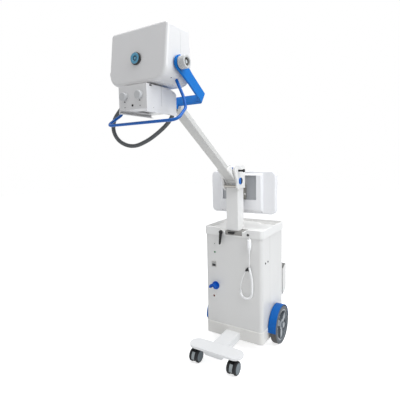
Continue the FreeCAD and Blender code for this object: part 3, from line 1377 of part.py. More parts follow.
def make_front_panel():
    """Lamps, rocker, cord hook, key lock, clamp lever and lock knob."""
    lamps = []
    for z, r in ((small_lamp_z, S.small_lamp_radius), (lamp_z, S.lamp_radius)):
        bore = r * S.lamp_bore_share
        lamp = turned_part("lamp", (0, -4), (bore, -4), (bore, 0), (r, 0), (r, 1.5), (bore, 3), (0, 3.5))
        lamps.append(place(lamp, S.lamp_x, front_y + origin_y, z, (1, 0, 0), 90))
    NODES["indicator_lamps"] = group("indicator_lamps", *lamps)

    rw, rh, gap = half(S.rocker_width), half(S.rocker_height), S.rocker_gap
    tip = rh - gap
    rocker = Piece("rocker_body")
    rocker.slab("YZ", S.rocker_x - rw + gap, S.rocker_x + rw - gap, lambda d: d.polygon(
        (front_y - 3, S.rocker_z - tip + 1), (front_y - 2.5, S.rocker_z), (front_y - 5, S.rocker_z + tip - 1.5),
        (front_y - 1, S.rocker_z + tip - 0.5), (front_y + 6, S.rocker_z + tip - 6),
        (front_y + 6, S.rocker_z - tip + 6), (front_y - 1, S.rocker_z - tip)))
    node("switch_rocker", rocker)

    # cord hook: back flange, half-tube saddle open below, and a smaller front flange
    x, z = S.hook_x, hook_z
    hook = Piece("hook_body")
    tip_y = front_y - S.hook_length
    hook.slab("XZ", front_y - S.hook_flange, front_y, lambda d: d.circle(x, z, S.hook_back_radius))
    hook.slab("XZ", tip_y, front_y - S.hook_flange + 0.5, lambda d: d.circle(x, z, S.hook_core_radius))
    hook.slab("XZ", tip_y, tip_y + S.hook_flange, lambda d: d.circle(x, z, S.hook_front_radius))
    hook.cut("XZ", tip_y - 1, front_y - S.hook_flange,
             lambda d: d.circle(x, z, S.hook_core_radius - S.hook_wall))
    reach = S.hook_back_radius + 5
    hook.cut("XZ", tip_y - 1, front_y - S.hook_flange,
             lambda d: d.rectangle(x - reach, z - reach, x + reach, z - S.hook_open))
    node("cord_hook", hook)

    lock = Piece("lock_body")
    r = S.lock_radius
    lock.turned((0, -10), (r - 4, -10), (r - 4, 0), (r, 0), (r, 2), (r - 3, 5), (6, 5), (5, 4), (0, 4))
    lock.cut("XY", 2, 7, lambda d: d.rectangle(-1, -3.5, 1, 3.5))
    node("panel_lock", lock, S.lock_x, front_y, lock_z, (1, 0, 0), 90)

    # clamp lever on its boss beside the bracket window
    near = S.boss_pin_length + S.running_gap
    h = S.lever_hub_radius
    hub = turned_part("lever_hub", (0, near), (h - 2, near), (h, near + 3), (h, near + 16), (h - 3, near + 19),
                      (0, near + 19))
    place(hub, 0, 0, 0, (1, 0, 0), 90)
    blade = Piece("lever_blade")
    blade.slab("XZ", -near - 16, -near - 7, lambda d: d.polygon(
        (-9, 0), (9, 0), (-2, -S.lever_length + 10), (-7, -S.lever_length), (-14, -S.lever_length + 3)))
    blade.round(2.5, along((0, 1, 0)))
    node("clamp_lever", fuse("lever", hub, blade.body), S.lever_x, cover_front_y, S.lever_z)

    # lock bar before the bracket window, on a shaft that enters the bracket
    knob = Piece("lock_bar")
    kw, kh = half(S.lock_knob_width), half(S.lock_knob_height)
    knob.slab("XZ", -S.lock_knob_depth, 0, lambda d: d.rectangle(-kw, -kh, kw, kh))
    knob.round(3, along((0, 1, 0)))
    shaft_reach = column_y - S.shaft_radius - S.knob_shaft_gap - cover_front_y + S.running_gap
    knob.slab("XZ", -1, shaft_reach, lambda d: d.circle(0, 0, S.knob_shaft_radius))
    node("lock_knob", knob, S.lock_knob_x, cover_front_y - S.running_gap, S.lock_knob_z)


def make_hand_switch():
    """Hand switch in its clip, its button, the plug and the leads."""
    r = S.handset_radius
    y = cord_y
    top = S.handset_top
    low = top - S.handset_length
    well = S.button_radius + S.button_play
    well_floor = top - S.button_stem - S.button_travel - S.button_play
    grip = turned_part("grip", (0, handset_end), (4, handset_end), (5, low), (r - 4, low + 12), (r - 0.3, low + 24),
                       (r - 0.3, top - 26), (r - 0.5, top - 8), (r - 4, top), (well, top), (well, well_floor), (0, well_floor))
    node("hand_switch", grip, S.handset_x, y, 0)
    b, stem = S.button_radius, top - S.button_stem
    button = turned_part("button", (0, stem), (b, stem), (b, top + 4), (b - 1.5, top + 6), (0, top + 6))
    node("exposure_button", button, S.handset_x, y, 0)

    plug_y = front_y - S.plug_length
    body = cylinder("plug_body", S.plug_radius, (S.plug_x, plug_y, S.plug_z), S.plug_length, "Y")
    first, after = lower_lead[0], lower_lead[1]
    lean = math.degrees(math.atan2(number(first[0] - after[0]), number(first[2] - after[2])))
    neck = cylinder("plug_neck", S.plug_neck_radius, first, S.plug_neck_length)
    place(neck, *first, (0, 1, 0), lean)
    node("lead_plug", fuse("plug", body, neck))

    node("curly_cord", tube("curly_tube", curly_points, S.curly_radius))
    node("upper_lead", tube("upper_lead_tube", upper_lead, S.lead_radius))
    node("lower_lead", tube("lower_lead_tube", lower_lead, S.lead_radius))
    node("head_hose", tube("hose_tube", hose_points, S.hose_radius))


def on_arm(x, along, across):
    """A point given along the arm from its pivot and across it."""
    return (x, pivot_y - along * arm_cos + across * arm_sin, S.pivot_z + along * arm_sin + across * arm_cos)


def on_head_gland(outward):
    """A point on the axis of the gland on the head, at a distance from the shell."""
    reach = S.head_low_corner + outward
    return (-half(S.head_width) + S.head_low_corner - reach * sine(S.gland_lean), head_y + S.gland_y,
            head_low + S.head_low_corner - reach * cosine(S.gland_lean))


def by_head(x, back, up):
    """A point given from the head's own pivot."""
    return (x, head_y + back, head_z + up)


# Cord routes as chosen points
cord_y = front_y - S.handset_radius - S.handset_gap
handset_end = S.handset_top - S.handset_length - S.handset_tail
lead_neck_y = cord_y + S.plug_neck_back
hose_points = [
    on_arm(S.yoke_gland_x, crossbar, -half(S.yoke_bar) - S.yoke_gland_length),
    on_arm(S.yoke_gland_x, crossbar, -half(S.yoke_bar) - S.yoke_gland_length - 42),
    by_head(10, 112, -228), by_head(-34, 101, -264), by_head(-88, 87, -300), by_head(-162, 66, -329),
    by_head(-229, 43, -304), by_head(-262, 34, -250), by_head(-256, 37, -194), by_head(-222, 45, -152),
    on_head_gland(S.gland_length + 44),
    on_head_gland(S.gland_length),
]
upper_lead = [
    (S.handset_x, cord_y, handset_end), (S.handset_x + 2, cord_y, handset_end - 44),
    (S.handset_x - 1, cord_y, handset_end - 88),
]
curly_offsets = [
    (-1, -88), (10, -130), (17, -176), (19, -224), (15, -272), (-7, -295), (-39, -295), (-62, -272), (-62, -240),
]
curly_points = [(S.handset_x + dx, cord_y, handset_end + dz) for dx, dz in curly_offsets]
lower_lead = [
    (S.handset_x - 26, lead_neck_y, handset_end - 118), (S.handset_x - 42, cord_y + 2, handset_end - 149),
    (S.handset_x - 52, cord_y, handset_end - 180), (S.handset_x - 59, cord_y, handset_end - 210),
    (S.handset_x - 62, cord_y, handset_end - 240),
]

make_base_tray()
make_covers()
make_leg()
make_casters()
make_rear_wheels()
make_mast()
make_arm()
make_yoke()
make_head()
make_collimator()
make_console()
make_front_panel()
make_hand_switch()
doc.recompute()

for made in doc.Objects:
    state = set(made.State) & {"Invalid", "Error"}
    if state:
        raise SystemExit(f"{made.Label} ({made.Name}) failed: {state}")
for name, made in NODES.items():
    shape = made.Shape
    if shape.isNull() or not shape.isValid() or not shape.Solids:
        raise SystemExit(f"{name} has no valid solid")

os.makedirs("parts", exist_ok=True)
for name, made in NODES.items():
    made.Shape.exportStep(os.path.join("parts", f"{name}.step"))
print(f"{len(NODES)} nodes, origin_y {number(origin_y):.3f}, head pivot {number(head_y):.2f} {number(head_z):.2f}")
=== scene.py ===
"""Looks of the mobile x-ray machine: camera, light, cords, materials and small fittings."""

import math

import bmesh
import bpy
from mathutils import Matrix, Vector


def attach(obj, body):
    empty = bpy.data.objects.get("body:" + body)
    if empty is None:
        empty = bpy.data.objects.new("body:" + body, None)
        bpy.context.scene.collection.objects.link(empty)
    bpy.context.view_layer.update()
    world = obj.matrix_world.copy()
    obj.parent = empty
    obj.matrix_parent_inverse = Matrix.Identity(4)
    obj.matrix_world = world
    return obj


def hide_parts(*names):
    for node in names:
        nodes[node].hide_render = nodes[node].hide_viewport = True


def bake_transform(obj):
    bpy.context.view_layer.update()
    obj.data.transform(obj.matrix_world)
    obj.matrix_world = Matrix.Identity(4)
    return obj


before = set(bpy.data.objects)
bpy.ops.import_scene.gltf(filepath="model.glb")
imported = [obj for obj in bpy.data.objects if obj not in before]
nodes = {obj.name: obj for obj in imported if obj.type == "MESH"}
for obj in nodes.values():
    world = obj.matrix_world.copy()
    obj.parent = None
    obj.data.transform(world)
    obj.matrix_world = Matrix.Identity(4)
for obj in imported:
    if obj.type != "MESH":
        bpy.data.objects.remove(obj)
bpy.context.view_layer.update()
scene = bpy.context.scene
MM = 0.001

# Places are written in millimetres with Y counted from 169 mm behind the cabinet's front.
# SHIFT takes them to the frame, whose Y counts from the middle of the whole machine.
SHIFT = 398.086
ARM_TILT = math.radians(33.7)
PIVOT = (0, -156, 1106)
HEAD = (0, -957.17, 1640.32)


def at(x, y, z):
    """A place written in millimetres, as a place in the frame."""
    return Vector((x * MM, (y + SHIFT) * MM, z * MM))


def on_arm(x, along, across):
    """A place from its distances along the arm and square to it, counted from the arm's pivot."""
    y = PIVOT[1] - along * math.cos(ARM_TILT) + across * math.sin(ARM_TILT)
    z = PIVOT[2] + along * math.sin(ARM_TILT) + across * math.cos(ARM_TILT)
    return (x, y, z)


# Camera
def make_camera():
    yaw, pitch, roll = (math.radians(a) for a in (32.4, -5.0, -1.2))
    ahead = Vector((-math.sin(yaw) * math.cos(pitch), math.cos(yaw) * math.cos(pitch), math.sin(pitch)))
    flat = Vector((math.cos(yaw), math.sin(yaw), 0))
    above = flat.cross(ahead)
    right = flat * math.cos(roll) + above * math.sin(roll)
    up = above * math.cos(roll) - flat * math.sin(roll)
    data = bpy.data.cameras.new("camera")
    data.sensor_width = 36
    data.lens = 31.22
    data.shift_x = 0.007
    data.shift_y = -0.026
    camera = bpy.data.objects.new("camera", data)
    turn = Matrix((right, up, -ahead)).transposed().to_4x4()
    camera.matrix_world = Matrix.Translation(at(995.3, -2150.1, 1248.2)) @ turn
    scene.collection.objects.link(camera)
    scene.camera = camera


make_camera()


# Materials
COAT_ROUGH = 0.15
LEAST_ROUGH = 0.03


def colour(red, green, blue):
    """A screen colour from 0 to 255 as the shader's own colour."""
    def straight(c):
        c = c / 255
        return c / 12.92 if c <= 0.04045 else ((c + 0.055) / 1.055) ** 2.4
    return (straight(red), straight(green), straight(blue), 1)


class Surface:
    """A node material with broad mottling, fine grain, uneven roughness and bump."""

    def __init__(self, name, base, rough, metal=0.0, mottle=0.05, patch=0.15, grain=0.0012, depth=0.00003,
                 spread=0.08, stretch=(1, 1, 1), coat=0.0, specular=0.5):
        self.material = bpy.data.materials.new(name)
        self.material.use_nodes = True
        self.tree = self.material.node_tree
        self.shader = self.tree.nodes["Principled BSDF"]
        self.place = self.add("ShaderNodeTexCoord").outputs["Object"]
        stretched = self.add("ShaderNodeMapping", Scale=stretch, Vector=self.place).outputs["Vector"]
        broad = self.add("ShaderNodeTexNoise", Vector=self.place, Scale=1 / patch, Detail=4.0).outputs["Fac"]
        fine = self.add("ShaderNodeTexNoise", Vector=stretched, Scale=1 / grain, Detail=3.0).outputs["Fac"]
        dark = tuple(c * (1 - mottle) for c in base[:3]) + (1,)
        light = tuple(min(c * (1 + mottle * 0.5), 1) for c in base[:3]) + (1,)
        self.colour = self.blend(broad, dark, light)
        self.tree.links.new(self.colour, self.shader.inputs["Base Color"])
        self.shader.inputs["Metallic"].default_value = metal
        self.shader.inputs["Coat Weight"].default_value = coat
        self.shader.inputs["Coat Roughness"].default_value = COAT_ROUGH
        self.shader.inputs["Specular IOR Level"].default_value = specular
        rough_out = self.add("ShaderNodeMapRange", Value=fine, **{
            "From Min": 0.3, "From Max": 0.7,
            "To Min": max(rough - spread, LEAST_ROUGH), "To Max": rough + spread})
        self.tree.links.new(rough_out.outputs["Result"], self.shader.inputs["Roughness"])
        bump = self.add("ShaderNodeBump", Height=fine, Strength=1.0, Distance=depth)
        self.tree.links.new(bump.outputs["Normal"], self.shader.inputs["Normal"])

    def feed(self, socket, value):
        """The value set on a socket, or another node's output linked to it."""
        if isinstance(value, bpy.types.NodeSocket):
            self.tree.links.new(value, socket)
        else:
            socket.default_value = value

    def add(self, kind, **inputs):
        """A node with its named sockets fed."""
        node = self.tree.nodes.new(kind)
        for name, value in inputs.items():
            self.feed(node.inputs[name], value)
        return node

    def blend(self, factor, first, second):
        """A colour mixed from two, whose sockets on the node are the seventh and eighth."""
        node = self.tree.nodes.new("ShaderNodeMix")
        node.data_type = "RGBA"
        self.feed(node.inputs[0], factor)
        self.feed(node.inputs[6], first)
        self.feed(node.inputs[7], second)
        return node.outputs[2]

    def calculate(self, operation, first, second=0.0):
        node = self.tree.nodes.new("ShaderNodeMath")
        node.operation = operation
        self.feed(node.inputs[0], first)
        self.feed(node.inputs[1], second)
        return node.outputs[0]

    def axis(self, letter):
        return self.add("ShaderNodeSeparateXYZ", Vector=self.place).outputs[letter]

    def beyond(self, value, limit):
        return self.calculate("GREATER_THAN", value, limit)

    def below(self, value, limit):
        return self.calculate("LESS_THAN", value, limit)

    def between(self, letter, low, high):
        return self.within(self.beyond(self.axis(letter), low), self.below(self.axis(letter), high))

    def away(self, value, middle=0.0):
        """How far a value lies from a middle, on either side."""
        return self.calculate("ABSOLUTE", self.calculate("SUBTRACT", value, middle))

    def reach(self, first, first_middle, second, second_middle):
        """The distance from a line that runs along the third axis."""
        a = self.calculate("SUBTRACT", self.axis(first), first_middle)
        b = self.calculate("SUBTRACT", self.axis(second), second_middle)
        squares = self.calculate("ADD", self.calculate("MULTIPLY", a, a), self.calculate("MULTIPLY", b, b))
        return self.calculate("SQRT", squares)

    def within(self, *parts):
        """One where every part is one."""
        found = parts[0]
        for part in parts[1:]:
            found = self.calculate("MULTIPLY", found, part)
        return found

    def over(self, mask, second):
        """A second colour where the mask is one."""
        self.colour = self.blend(mask, self.colour, second)
        self.tree.links.new(self.colour, self.shader.inputs["Base Color"])
        return self


def paint(surface, *names):
    """The surface in every material slot of these CAD nodes."""
    for name in names:
        for slot in nodes[name].material_slots:
            slot.material = surface.material


white_front = colour(223, 222, 220)
lid_white = colour(234, 233, 231)
mast_white = colour(232, 231, 229)
head_white = colour(220, 219, 219)
console_white = colour(238, 238, 240)
yoke_blue = colour(0, 110, 194)
cabinet = Surface("cabinet_paint", white_front, 0.42, mottle=0.03, depth=0.00002, coat=0.1)
lid = Surface("lid_plastic", lid_white, 0.38, mottle=0.03, depth=0.00003, coat=0.15)
skirt = Surface("skirt_plastic", colour(231, 229, 225), 0.45, mottle=0.04, depth=0.00004)
leg = Surface("leg_paint", colour(232, 232, 232), 0.4, mottle=0.03, depth=0.00003, coat=0.1)
mast = Surface("mast_paint", mast_white, 0.36, mottle=0.03, depth=0.00002, coat=0.2)
arm = Surface("arm_paint", colour(204, 203, 200), 0.42, mottle=0.02, grain=0.003, depth=0.00001, coat=0.05)
head = Surface("head_plastic", head_white, 0.35, mottle=0.03, depth=0.00004, coat=0.15)
console = Surface("console_plastic", console_white, 0.4, mottle=0.03, depth=0.00005)
blue_paint = Surface("blue_paint", yoke_blue, 0.5, mottle=0.05, depth=0.00002, specular=0.2)
blue_guard = Surface("blue_guard", colour(0, 92, 172), 0.5, mottle=0.06, depth=0.00003, specular=0.22)
blue_tube = Surface("blue_tube", colour(0, 94, 182), 0.34, mottle=0.05, depth=0.00001, coat=0.12,
                    specular=0.25)
blue_moulded = Surface("blue_moulded", colour(0, 82, 180), 0.48, mottle=0.06, depth=0.00004, specular=0.25)
black = Surface("black_plastic", colour(16, 16, 17), 0.42, mottle=0.2, depth=0.00005, specular=0.3)
grey_knob = Surface("knob_plastic", colour(196, 197, 198), 0.38, mottle=0.05, depth=0.00004)
steel = Surface("steel", colour(168, 165, 160), 0.35, metal=0.9, mottle=0.08, grain=0.0008,
                stretch=(0.05, 1, 1))
dark_metal = Surface("dark_metal", colour(84, 84, 88), 0.5, metal=0.6, mottle=0.15, depth=0.00006)
bracket_grey = Surface("bracket_grey", colour(150, 148, 145), 0.5, metal=0.2, mottle=0.1, depth=0.00005)
chassis = Surface("chassis_paint", colour(92, 94, 98), 0.5, mottle=0.1, depth=0.00005)
hub = Surface("hub_silver", colour(130, 136, 142), 0.3, metal=0.35, mottle=0.06, depth=0.00003)
cord_white = Surface("cord_white", colour(250, 250, 250), 0.45, mottle=0.04, patch=0.02, depth=0.00003)
hose_grey = Surface("hose_grey", colour(74, 77, 79), 0.5, mottle=0.12, patch=0.03, depth=0.00006)
hinge = Surface("hinge_metal", colour(140, 137, 130), 0.45, metal=0.5, mottle=0.08, stretch=(1, 1, 0.05))
lamp = Surface("lamp_lens", colour(38, 108, 62), 0.2, mottle=0.1, patch=0.01, depth=0.00001, coat=0.5)

paint(cabinet, "rear_cover", "cassette_pocket")
paint(skirt, "base_skirt")
paint(leg, "front_leg")
paint(mast, "column", "arm_root")
paint(arm, "arm_tube")
paint(head, "head_rear_shell", "collimator_panel", "collimator_base")
paint(console, "console_front_shell")
paint(blue_paint, "yoke")
paint(blue_guard, "mudguards")
paint(blue_tube, "handle")
paint(blue_moulded, "cord_hook")
paint(black, "lock_knob", "index_plunger", "light_button")
paint(grey_knob, "exposure_button")
paint(steel, "balance_spring")
paint(bracket_grey, "column_bracket")
paint(hinge, "console_hinge")
paint(dark_metal, "shutter_left", "shutter_right", "shutter_front", "shutter_back")
paint(chassis, "chassis", "power_module")
paint(hub, "hub_left", "hub_right")
paint(cord_white, "hand_switch")
paint(black, "lead_plug")
paint(lamp, "indicator_lamps")


# Light and surroundings
def seen_rays(tree):
    """One for the camera's, mirrored and passed rays, and nothing for those that light the object."""
    path = tree.nodes.new("ShaderNodeLightPath")
    found = path.outputs["Is Camera Ray"]
    for kind in ("Is Glossy Ray", "Is Transmission Ray"):
        either = tree.nodes.new("ShaderNodeMath")
        either.operation = "MAXIMUM"
        tree.links.new(found, either.inputs[0])
        tree.links.new(path.outputs[kind], either.inputs[1])
        found = either.outputs[0]
    return found


def make_world():
    world = bpy.data.worlds.new("studio")
    scene.world = world
    world.use_nodes = True
    tree = world.node_tree
    for node in list(tree.nodes):
        tree.nodes.remove(node)
    seen = seen_rays(tree)
    lit = tree.nodes.new("ShaderNodeBackground")
    lit.inputs["Color"].default_value = (0.93, 0.96, 1.0, 1)
    lit.inputs["Strength"].default_value = 0.42
    plain = tree.nodes.new("ShaderNodeBackground")
    plain.inputs["Color"].default_value = (1, 1, 1, 1)
    plain.inputs["Strength"].default_value = 1.0
    mix = tree.nodes.new("ShaderNodeMixShader")
    out = tree.nodes.new("ShaderNodeOutputWorld")
    tree.links.new(seen, mix.inputs[0])
    tree.links.new(lit.outputs[0], mix.inputs[1])
    tree.links.new(plain.outputs[0], mix.inputs[2])
    tree.links.new(mix.outputs[0], out.inputs[0])


def make_floor():
    size = 12.0
    mesh = bpy.data.meshes.new("floor")
    corners = [(-size, -size, 0), (size, -size, 0), (size, size, 0), (-size, size, 0)]
    mesh.from_pydata(corners, [], [(0, 1, 2, 3)])
    floor = bpy.data.objects.new("floor", mesh)
    floor.location.z = -0.0005
    scene.collection.objects.link(floor)
    material = bpy.data.materials.new("floor_white")
    material.use_nodes = True
    tree = material.node_tree
    shader = tree.nodes["Principled BSDF"]
    shader.inputs["Base Color"].default_value = (0.8, 0.8, 0.8, 1)
    shader.inputs["Roughness"].default_value = 0.9
    tree.links.new(seen_rays(tree), shader.inputs["Emission Strength"])
    shader.inputs["Emission Color"].default_value = (0.72, 0.72, 0.72, 1)
    mesh.materials.append(material)


def area_light(name, place, aim, size, power, tint):
    data = bpy.data.lights.new(name, "AREA")
    data.size = size
    data.energy = power
    data.color = tint
    light = bpy.data.objects.new(name, data)
    light.location = place
    light.rotation_euler = (Vector(aim) - Vector(place)).to_track_quat("-Z", "Y").to_euler()
    scene.collection.objects.link(light)


make_world()
make_floor()
area_light("side_light", (2.5, -0.2, 3.0), (0, 0, 1.0), 2.2, 66, (0.94, 0.97, 1.0))
area_light("front_light", (-0.8, -5.2, 1.0), (0, 0, 0.7), 2.6, 22, (1.0, 0.98, 0.95))
area_light("top_light", (0.4, -0.2, 4.2), (0, 0, 0.8), 3.0, 78, (1.0, 1.0, 0.99))


# Cords
def smooth_curve(name, places, radius, resolution, round_steps):
    """A smooth curve led by its control points, which are places in the frame."""
    data = bpy.data.curves.new(name, "CURVE")
    data.dimensions = "3D"
    data.resolution_u = resolution
    spline = data.splines.new("NURBS")
    spline.points.add(len(places) - 1)
    for point, place in zip(spline.points, places):
        point.co = (*place, 1)
    spline.order_u = 3
    spline.use_endpoint_u = True
    data.bevel_depth = radius * MM
    data.bevel_resolution = round_steps
    data.use_fill_caps = True
    curve = bpy.data.objects.new(name, data)
    scene.collection.objects.link(curve)
    return curve


def cord_curve(name, points, radius, resolution=12):
    return smooth_curve(name, [at(*point) for point in points], radius, resolution, 6)


def centreline(points):
    """The places along a cord's route, read from its smooth curve."""
    curve = cord_curve("centreline", points, 0, 24)
    bpy.context.view_layer.update()
    mesh = bpy.data.meshes.new_from_object(curve)
    places = [v.co.copy() for v in mesh.vertices]
    bpy.data.meshes.remove(mesh)
    bpy.data.objects.remove(curve)
    return places


def length_of(places):
    return sum((b - a).length for a, b in zip(places, places[1:]))


def as_mesh(name, curve, surface):
    """The curve's surface as a mesh of its own, in place of the curve."""
    curve.data.materials.append(surface.material)
    bpy.context.view_layer.update()
    mesh = bpy.data.meshes.new_from_object(curve)
    bpy.data.objects.remove(curve)
    for face in mesh.polygons:
        face.use_smooth = True
    made = bpy.data.objects.new(name, mesh)
    scene.collection.objects.link(made)
    return made


HOSE_RADIUS, LEAD_RADIUS = 9.5, 2.2
COIL_RADIUS, WIRE_RADIUS, COIL_PITCH = 5.2, 1.9, 4.3
hose_points = [
    on_arm(28, 749, -47), on_arm(28, 749, -89), (10, -845.2, 1412.3), (-34, -856.2, 1376.3),
    (-88, -870.2, 1340.3), (-162, -891.2, 1311.3), (-229, -914.2, 1336.3), (-262, -923.2, 1390.3),
    (-256, -920.2, 1446.3), (-222, -912.2, 1488.3), (-174.2, -905.2, 1533.4), (-145.4, -905.2, 1566.6),
]
LEAD_Y = -187
upper_points = [(124, LEAD_Y, 654), (126, LEAD_Y, 610), (123, LEAD_Y, 566)]
curly_points = [
    (123, LEAD_Y, 566), (134, LEAD_Y, 524), (141, LEAD_Y, 478), (143, LEAD_Y, 430), (139, LEAD_Y, 382),
    (117, LEAD_Y, 359), (85, LEAD_Y, 359), (62, LEAD_Y, 382), (62, LEAD_Y, 414),
]
lower_points = [
    (98, LEAD_Y + 4, 536), (82, LEAD_Y + 2, 505), (72, LEAD_Y, 474), (65, LEAD_Y, 444), (62, LEAD_Y, 414),
]

hose_line = centreline(hose_points)
hose = as_mesh("head_hose_cord", cord_curve("head_hose_cord", hose_points, HOSE_RADIUS), hose_grey)
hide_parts("head_hose")
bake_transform(hose)

for name, points in (("upper_lead", upper_points), ("lower_lead", lower_points)):
    line = centreline(points)
    lead = cord_curve(f"{name}_cord", points, LEAD_RADIUS)
    lead.data.materials.append(cord_white.material)
    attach(lead, "base")
    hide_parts(name)


def wound_wire(line, coil_radius, pitch, per_turn=12):
    """The places of a wire wound round a line, drawn in to the line at both ends."""
    total = length_of(line)
    steps = round(total / (pitch * MM)) * per_turn
    reach, index = 0.0, 0
    wound = []
    side = Vector((0, 1, 0))
    for k in range(steps + 1):
        want = total * k / steps
        while index < len(line) - 2 and reach + (line[index + 1] - line[index]).length < want:
            reach += (line[index + 1] - line[index]).length
            index += 1
        run = line[index + 1] - line[index]
        heading = run.normalized()
        centre = line[index] + heading * min(want - reach, run.length)
        normal = heading.cross(side).normalized()
        turn = 2 * math.pi * k / per_turn
        ease = min(1, k / per_turn, (steps - k) / per_turn)
        wound.append(centre + (side * math.cos(turn) + normal * math.sin(turn)) * coil_radius * MM * ease)
    return wound


curly_line = centreline(curly_points)
curly_wire = wound_wire(curly_line, COIL_RADIUS, COIL_PITCH)
curly = as_mesh("curly_cord_coil", smooth_curve("curly_cord_coil", curly_wire, WIRE_RADIUS, 2, 3), cord_white)
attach(curly, "base")
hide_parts("curly_cord")


# Surfaces with more than one colour
PIVOT_Y = (PIVOT[1] + SHIFT) * MM
HEAD_Y = (HEAD[1] + SHIFT) * MM
HEAD_Z = HEAD[2] * MM
BOSS_Z = (HEAD[2] + 27.7) * MM
BOSS_SEAT_Y, BOSS_RADIUS = -0.6325, 0.0265
PIVOT_CAP_SEAT = 0.0533
KNOB_DISH, KNOB_DISH_RADIUS = 0.19, 0.0165
KNOB_PIN, KNOB_PIN_RADIUS = 0.1975, 0.0072
TRUNNION_X = 0.1555

front_shell = Surface("head_front_plastic", head_white, 0.35, mottle=0.03, depth=0.00004, coat=0.15)
# Painted shade: the boss's side in front of its seat is painted near-black, standing in for the shade round
# the boss.
boss_round = front_shell.below(front_shell.reach("X", 0, "Z", BOSS_Z), BOSS_RADIUS)
front_shell.over(front_shell.within(boss_round, front_shell.below(front_shell.axis("Y"), BOSS_SEAT_Y)),
                 colour(34, 36, 38))
paint(front_shell, "head_front_shell")

cheeks = Surface("cheek_paint", mast_white, 0.42, mottle=0.03, depth=0.00002, specular=0.35)
cheeks.over(cheeks.beyond(cheeks.away(cheeks.axis("X")), PIVOT_CAP_SEAT), colour(0, 102, 192))
# Painted shade: the rear half of the right pivot cap is painted near-black, standing in for the shade on that
# half.
cheeks.over(cheeks.within(cheeks.beyond(cheeks.axis("X"), PIVOT_CAP_SEAT),
                          cheeks.beyond(cheeks.axis("Y"), PIVOT_Y)), colour(30, 30, 32))
paint(cheeks, "fork_cheeks")

knobs = Surface("tilt_knob_plastic", colour(190, 191, 191), 0.38, mottle=0.05, depth=0.00004)
from_axis = knobs.reach("Y", HEAD_Y, "Z", HEAD_Z)
outward = knobs.away(knobs.axis("X"))
# Painted shade: the dish on each knob's outer face is painted dark, standing in for the shade in the recess;
# the pin in its middle stays light grey.
knobs.over(knobs.within(knobs.beyond(outward, KNOB_DISH), knobs.below(from_axis, KNOB_DISH_RADIUS)),
           colour(72, 68, 62))
knobs.over(knobs.within(knobs.beyond(outward, KNOB_PIN), knobs.below(from_axis, KNOB_PIN_RADIUS)),
           colour(186, 190, 190))
paint(knobs, "tilt_knob_left", "tilt_knob_right")

tank = Surface("tank_metal", colour(150, 152, 156), 0.4, metal=0.4, mottle=0.08)
tank.over(tank.beyond(tank.away(tank.axis("X")), TRUNNION_X), yoke_blue)
paint(tank, "tube_tank")

CAP_RIM, CAP_RECESS, CAP_CENTRE = 0.0222, 0.0105, 0.0055
cap = Surface("boss_cap_plastic", colour(70, 150, 184), 0.3, mottle=0.08, patch=0.03, depth=0.00002, coat=0.3)
cap_reach = cap.reach("X", 0, "Z", BOSS_Z)
# Painted shade: the cap's edge and its recess are painted dark, standing in for the shade on the boss's side
# and in the recess; the small centre is painted lighter.
cap.over(cap.beyond(cap_reach, CAP_RIM), colour(26, 28, 30))
cap.over(cap.below(cap_reach, CAP_RECESS), colour(24, 66, 84))
cap.over(cap.below(cap_reach, CAP_CENTRE), colour(96, 168, 196))
paint(cap, "boss_cap")

SEAM_Y, SEAM_HALF, SEAM_Z = (SHIFT - 968) * MM, 0.0008, (1.473, 1.555)
HOUSING_SIDE = 0.07
housing = Surface("collimator_plastic", head_white, 0.35, mottle=0.03, depth=0.00004, coat=0.15)
housing.over(housing.within(housing.below(housing.away(housing.axis("Y"), SEAM_Y), SEAM_HALF),
                            housing.beyond(housing.away(housing.axis("X")), HOUSING_SIDE),
                            housing.between("Z", *SEAM_Z)), colour(150, 150, 152))
paint(housing, "collimator_housing")

RECESS_X, RECESS_Y, RECESS_Z = (-0.1402, 0.1062), (SHIFT - 27.0) * MM, (0.9718, 1.1342)
rear_shell = Surface("console_back_plastic", console_white, 0.4, mottle=0.03, depth=0.00005)
# Painted shade: the recess on the console's back is painted grey, standing in for the shade in it.
rear_shell.over(rear_shell.within(rear_shell.between("X", *RECESS_X), rear_shell.between("Z", *RECESS_Z),
                                  rear_shell.beyond(rear_shell.axis("Y"), RECESS_Y)), colour(168, 170, 174))
paint(rear_shell, "console_rear_shell")

TYRE_SIDE = 0.2545
tyres = Surface("tyre_side_rubber", colour(82, 80, 78), 0.72, mottle=0.12, patch=0.05, depth=0.00008)
tyres.over(tyres.beyond(tyres.away(tyres.axis("X")), TYRE_SIDE), colour(94, 98, 102))
paint(tyres, "tyre_left", "tyre_right")

CASTER_X, CASTER_Y, CASTER_Z = 0.128, (SHIFT - 430) * MM, 0.040
DISC_FACE, DISC_RADIUS = 0.0288, 0.0325
wheels = Surface("caster_wheel_rubber", colour(34, 35, 37), 0.65, mottle=0.15, patch=0.03, depth=0.00006,
                 specular=0.3)
wheels.over(wheels.within(wheels.beyond(wheels.away(wheels.away(wheels.axis("X")), CASTER_X), DISC_FACE),
                          wheels.below(wheels.reach("Y", CASTER_Y, "Z", CASTER_Z), DISC_RADIUS)),
            colour(120, 128, 133))
paint(wheels, "caster_wheels_left", "caster_wheels_right")

STEM_HALF, STEM_Z = 0.010, (0.030, 0.072)
hoods = Surface("caster_hood_plastic", colour(20, 20, 22), 0.5, mottle=0.08, patch=0.03, depth=0.00004,
                specular=0.25)
hoods.over(hoods.within(hoods.below(hoods.away(hoods.away(hoods.axis("X")), CASTER_X), STEM_HALF),
                        hoods.between("Z", *STEM_Z)), colour(150, 156, 158))
paint(hoods, "caster_hood_left", "caster_hood_right")

